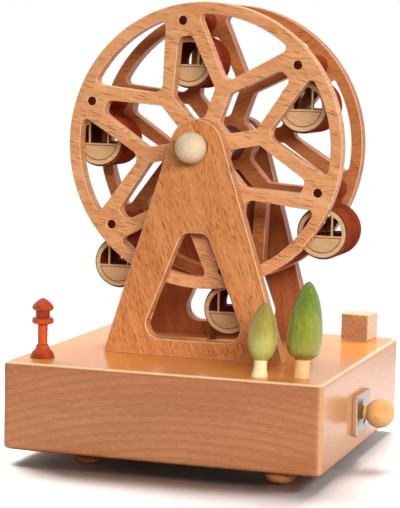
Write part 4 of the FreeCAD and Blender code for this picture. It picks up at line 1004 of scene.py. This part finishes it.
def crank_ball():
    """Ball knob with a short neck, bored 6 deep for the shaft."""
    radius, neck_r, neck, shaft_bore = 5.4, 2.7, -5.9, 2.02
    join = math.degrees(math.acos(neck_r / radius))
    reach = math.sqrt(radius ** 2 - neck_r ** 2)
    run = straight((0, 0.1), (shaft_bore, 0.1), (shaft_bore, neck), (neck_r - 0.2, neck))
    run += [bend(neck_r - 0.2, neck + 0.2, 0.2, -90, 0, 3), [(neck_r, neck + 0.2), (neck_r, -reach)],
            bend(0, 0, radius, -join, 90, 40)]
    piece("crank_ball_knob", turned(run, (68.1, SHAFT_Y, SHAFT_Z), X, 64), honey_knob, "crank",
          "crank_knob")


# ------------------------------------------------------------ pieces on the base

def lamp():
    """Street lamp turned in one piece: foot flare, post, bevelled collar, neck and cap."""
    flare = through([(4.5, 0.2), (4.5, 0.3), (4.19, 1.3), (3.75, 2.2), (3.0, 3.0), (2.47, 3.9),
                     (2.3, 4.7)], 26)
    under, over = bend(3.7, 13.05, 0.2, -60, 0, 3), bend(3.7, 14.4, 0.2, 0, 60, 3)
    dome = through([(4.0, 18.31), (3.64, 19.32), (2.8, 20.32), (1.32, 21.52), (0.0, 22.1)], 22)
    run = ([[(0, 0), (4.3, 0)], bend(4.3, 0.2, 0.2, -90, 0, 3), flare]
           + straight((2.3, 4.7), (1.8, 5.0), (1.8, 12.4), (3.27, 12.56), under[0]) + [under]
           + straight((3.9, 13.05), (3.9, 14.4)) + [over]
           + straight(over[-1], (3.27, 14.91), (2.6, 15.1), (2.6, 17.3), (3.51, 17.59), (4.0, 18.31))
           + [dome])
    # marks darken the lamp in its grooves and steps, partly stain pooling and partly painted shade, and
    # darken the upward foot flare as painted shade
    marks = [0.7, 0.6, np.linspace(0.75, 0.2, 26), 0.7, 0.0, 0.7, 0.5, 0.3, 0.0, 0.4, 0.4, 0.5, 0.7,
             0.8, 0.4, np.linspace(0.6, 0, 22) ** 2]
    patches = turned(run, (-50.5, -45.3, TOP_Z), Z, 64, marks)
    piece("street_lamp", patches, lamp_red, "stand", "lamp_post")


def toy_tree(size, x, y, trunk, crown, shape, wood, stain):
    """Trunk and crown of revolution, both tipped about the trunk's foot. trunk is (foot
    radius, radius, height), crown (radius, height), and the shape lists shares of both."""
    foot_r, trunk_r, trunk_h = trunk
    foot = np.array([x, y, TOP_Z])
    side = through([(foot_r, -0.2), (foot_r, 0.0), (trunk_r + 0.3 * (foot_r - trunk_r), 0.35 * trunk_h),
                    (trunk_r, trunk_h)], 16)
    run = [[(0, -0.2), (foot_r, -0.2)], side, [(trunk_r, trunk_h), (0, trunk_h)]]
    patches = leaning(turned(run, foot, Z, 48), foot)
    piece("tree_%s_stem" % size, patches, wood, "stand", size + "_tree_trunk")
    profile = [(trunk_r, 0)] + [(crown[0] * r, crown[1] * h) for r, h in shape] + [(0, crown[1])]
    patches = turned([[(0, 0), (trunk_r, 0)], through(profile, 60)], foot + (0, 0, trunk_h))
    patches = leaning(patches, foot)
    piece("tree_%s_top" % size, patches, stain, "stand", size + "_tree_crown")


def rounded_block():
    """Small block: a rounded square carried up with edge arcs and turned by -8.5 degrees. Its
    top and right faces are marked to come out paler as painted light, and its edge arcs carry a painted
    highlight."""
    half, edge, height, pale, count = 5.6, 0.5, 10.4, 0.65, 5
    place = (45.6, 52.6)
    spin = spun(math.radians(-8.5))
    steps = []
    for a in np.linspace(0, math.pi / 2, 5):
        s, c = math.sin(a), math.cos(a)
        # edge arcs carry a painted highlight mark; the right face's columns and the top take the pale
        # mark, painted light
        marks = np.full(4 * count, s * c)
        marks[[0, -1]] = pale
        steps.append([half - edge * (1 - s), edge, TOP_Z + edge * (1 - c), s, -c, marks, 0.0])
    steps += [[h, r, 2 * TOP_Z + height - z, s, -u, m, e] for h, r, z, s, u, m, e in steps[::-1]]
    ring = rounded_square(half - edge, edge, count)[0] @ spin + place
    patches = [square_sweep(steps, count, spin, place), cap([ring], Z, TOP_Z, -1),
               cap([ring], Z, TOP_Z + height, 1, pale)]
    piece("corner_cube", patches, block_beech, "stand", "corner_block")


wheel_board("wheel_front_board", FRONT_BOARD, wheel_front_beech, "front_wheel_plate")
wheel_board("wheel_rear_board", REAR_BOARD, rear_wheel_shaded_beech, "rear_wheel_plate")
pin_rods()
hub_piece()
axle_ball("axle_ball_front", -28.8, 1, "front_axle_ball")
axle_ball("axle_ball_rear", 42.2, -1, "rear_axle_ball")
for i, angle in enumerate(PIN_ANGLES, 1):
    gondola("gondola_%d" % i, angle)
a_frame_board("frame_front_board", -22.7, frame_front_beech, "front_a_frame")
a_frame_board("frame_rear_board", 30.8, rear_frame_shaded_beech, "rear_a_frame", 0.03)
base_block()
feet()
belt_loop()
plate_and_screws()
crank_ball()
axle_pulley()
lamp()
toy_tree("small", 34.5, -50.4, (2.95, 2.4, 5.9), (5.1, 20.2),
         [(0.6, 0.03), (0.77, 0.084), (0.93, 0.19), (1.0, 0.37), (0.94, 0.56), (0.78, 0.73),
          (0.5, 0.88), (0.25, 0.966)], trunk_pale, small_green)
toy_tree("tall", 48.5, -46.1, (2.85, 2.7, 6.4), (6.3, 27.6),
         [(0.56, 0.02), (0.77, 0.054), (0.94, 0.125), (1.0, 0.26), (0.95, 0.43), (0.83, 0.62),
          (0.61, 0.8), (0.33, 0.93), (0.17, 0.978)], trunk_warm, tall_green)
rounded_block()


# ------------------------------------------------------------ carried-over nodes

KEPT = {
    dowel_beech: ("axle", "frame_dowels", "crank_block", "front_cross_block", "rear_cross_block"),
    brass: ("front_bush", "rear_bush", "crank_bush", "crank_pinion"),
    steel: ("cover_screws", "crank_shaft", "block_screws", "cross_shaft"),
    gear_white: ("crown_gear", "drive_pulley"),
    cover_wood: ("bottom_cover",),
}
for material, names in KEPT.items():
    for name in names:
        nodes[name].data.materials.clear()
        nodes[name].data.materials.append(material)


# ------------------------------------------------------------ stage

def floor_stuff():
    """White table with a slight sheen, a little overexposed to the eye, that keeps the toy's
    shadow and fades into the white surround. It throws back only a fifth of the light it gets,
    and mirrors see it about as white as the eye does."""
    material, shader = start("white table")
    tree = material.node_tree
    path = add(tree, "ShaderNodeLightPath")
    # the table's warm tint is painted bounce light from the wood; it shows only in the shadow, and the
    # lit table clips to white
    cloth = path["Is Diffuse Ray"].mix((0.96, 0.88, 0.85, 1.0), (0.19, 0.18, 0.17, 1.0))
    cloth = path["Is Glossy Ray"].mix(cloth, (0.56, 0.56, 0.56, 1.0))
    cloth = add(tree, "ShaderNodeBsdfDiffuse", {"Color": cloth})[0]
    sheen = add(tree, "ShaderNodeBsdfGlossy", {"Color": WHITE, "Roughness": 0.2})[0]
    cloth = add(tree, "ShaderNodeMixShader", {0: 0.09, 1: cloth, 2: sheen})[0]
    seen = path["Is Camera Ray"].over(path["Is Transmission Ray"]).over(path["Is Glossy Ray"])
    glow = add(tree, "ShaderNodeEmission", {"Color": WHITE, "Strength": seen * 0.9 + 0.1})[0]
    far = place_point(shader).vector("DISTANCE", (0.0, 20.0, 0.0))
    both = far.step(130.0, 300.0).into("ShaderNodeMixShader", {1: cloth, 2: glow})[0]
    feed(tree.nodes["Material Output"].inputs["Surface"], both)
    tree.nodes.remove(shader)
    return material


def table():
    """Disc of rings r = 600 (i / 12)^1.5, flat at z = -0.02."""
    run = np.stack([600 * np.linspace(1, 0, 13) ** 1.5, np.full(13, -0.02)], 1)
    made = made_of("table_top", turned([run], (0, 0, 0)), floor_stuff())
    return made


def aim(made, side, up, forward, place):
    """Links an object that looks along forward from its place, in metres."""
    turn = Matrix((side, up, -forward)).transposed().to_4x4()
    made.matrix_world = Matrix.Translation(place) @ turn
    bpy.context.scene.collection.objects.link(made)


def lamp_panel(name, place, target, wide, high, share, on_table=None):
    """Soft rectangular light, not seen in mirrors. A plain white surface that faces it at the
    target shows about the given share of white: power = pi^2 d^2 share. It leaves out the
    table, or lights only the table, where on_table says so."""
    data = bpy.data.lights.new(name, "AREA")
    data.shape = "RECTANGLE"
    data.size, data.size_y = wide, high
    way = np.array(target) - np.array(place)
    data.energy = math.pi ** 2 * float(way @ way) * share
    made = bpy.data.objects.new(name, data)
    made.visible_glossy = False
    forward = way / np.linalg.norm(way)
    side = np.cross(forward, (0, 0, 1.0))
    side = side / np.linalg.norm(side)
    aim(made, side, np.cross(side, forward), forward, place)
    if on_table:
        choice = bpy.data.collections.new("table and " + name)
        choice.objects.link(table_top)
        choice.collection_objects[0].light_linking.link_state = on_table
        made.light_linking.receiver_collection = choice


def surround():
    """White surround: full white where it is seen, seen through or mirrored, dimmer in mirrors
    towards the front of the room (-y). As light it is a white sweep that rises behind the toy
    and over it, and leaves the front of the room dim."""
    world = bpy.data.worlds.new("white surround")
    bpy.context.scene.world = world
    world.use_nodes = True
    back = world.node_tree.nodes["Background"]
    path = add(world.node_tree, "ShaderNodeLightPath")
    way = add(world.node_tree, "ShaderNodeTexCoord")["Generated"]
    seen = path["Is Camera Ray"].over(path["Is Transmission Ray"])
    mirrored = path["Is Glossy Ray"] * way.parts()[Y].step(-0.75, -0.2, 0.2, 1.0)
    facing = way.vector("DOT_PRODUCT", (-0.3, 0.75, 0.6))
    back.inputs["Color"].default_value = WHITE
    feed(back.inputs["Strength"], seen.over(mirrored).over(facing.step(0.35, 0.95, 0.04, 0.6)))


def camera():
    """Camera low at the front right; its focal length is 1841.93 rows of a view 508 rows high."""
    yaw, pitch, roll = 0.3199, 0.1051, 0.0204
    level = math.cos(pitch)
    forward = np.array([-math.sin(yaw) * level, math.cos(yaw) * level, -math.sin(pitch)])
    right = np.array([math.cos(yaw), math.sin(yaw), 0.0])
    up = np.cross(right, forward)
    data = bpy.data.cameras.new("view")
    data.sensor_fit = "VERTICAL"
    data.sensor_height = 36.0
    data.lens = 1841.93 * 36.0 / 508.0
    data.clip_start, data.clip_end = 0.05, 20.0
    made = bpy.data.objects.new("view", data)
    aim(made, math.cos(roll) * right + math.sin(roll) * up, math.cos(roll) * up - math.sin(roll) * right,
        forward, np.array([215.054, -664.639, 147.674]) * MM)
    bpy.context.scene.camera = made


table_top = table()
lamp_panel("front panel", (0.72, -1.12, 0.5), (0, 0, 0.08), 1.3, 0.3, 1.24, "EXCLUDE")
lamp_panel("top panel", (-0.2, 0.62, 0.92), (0, 0, 0.04), 1.4, 0.4, 1.38, "EXCLUDE")
lamp_panel("right panel", (1.2, 0.2, 0.09), (0, 0, 0.06), 0.6, 0.16, 0.17)
lamp_panel("left panel", (-1.2, -0.1, 0.12), (0, 0, 0.08), 0.7, 0.2, 0.1)
lamp_panel("table panel", (-0.383, 0.613, 0.894), (0, 0, 0), 1.4, 0.5, 4.7, "INCLUDE")
lamp_panel("table side panel", (0.85, 0.4, 0.66), (0, 0, 0), 0.5, 0.3, 0.35, "INCLUDE")
surround()
camera()
bpy.context.scene.view_settings.view_transform = "Standard"
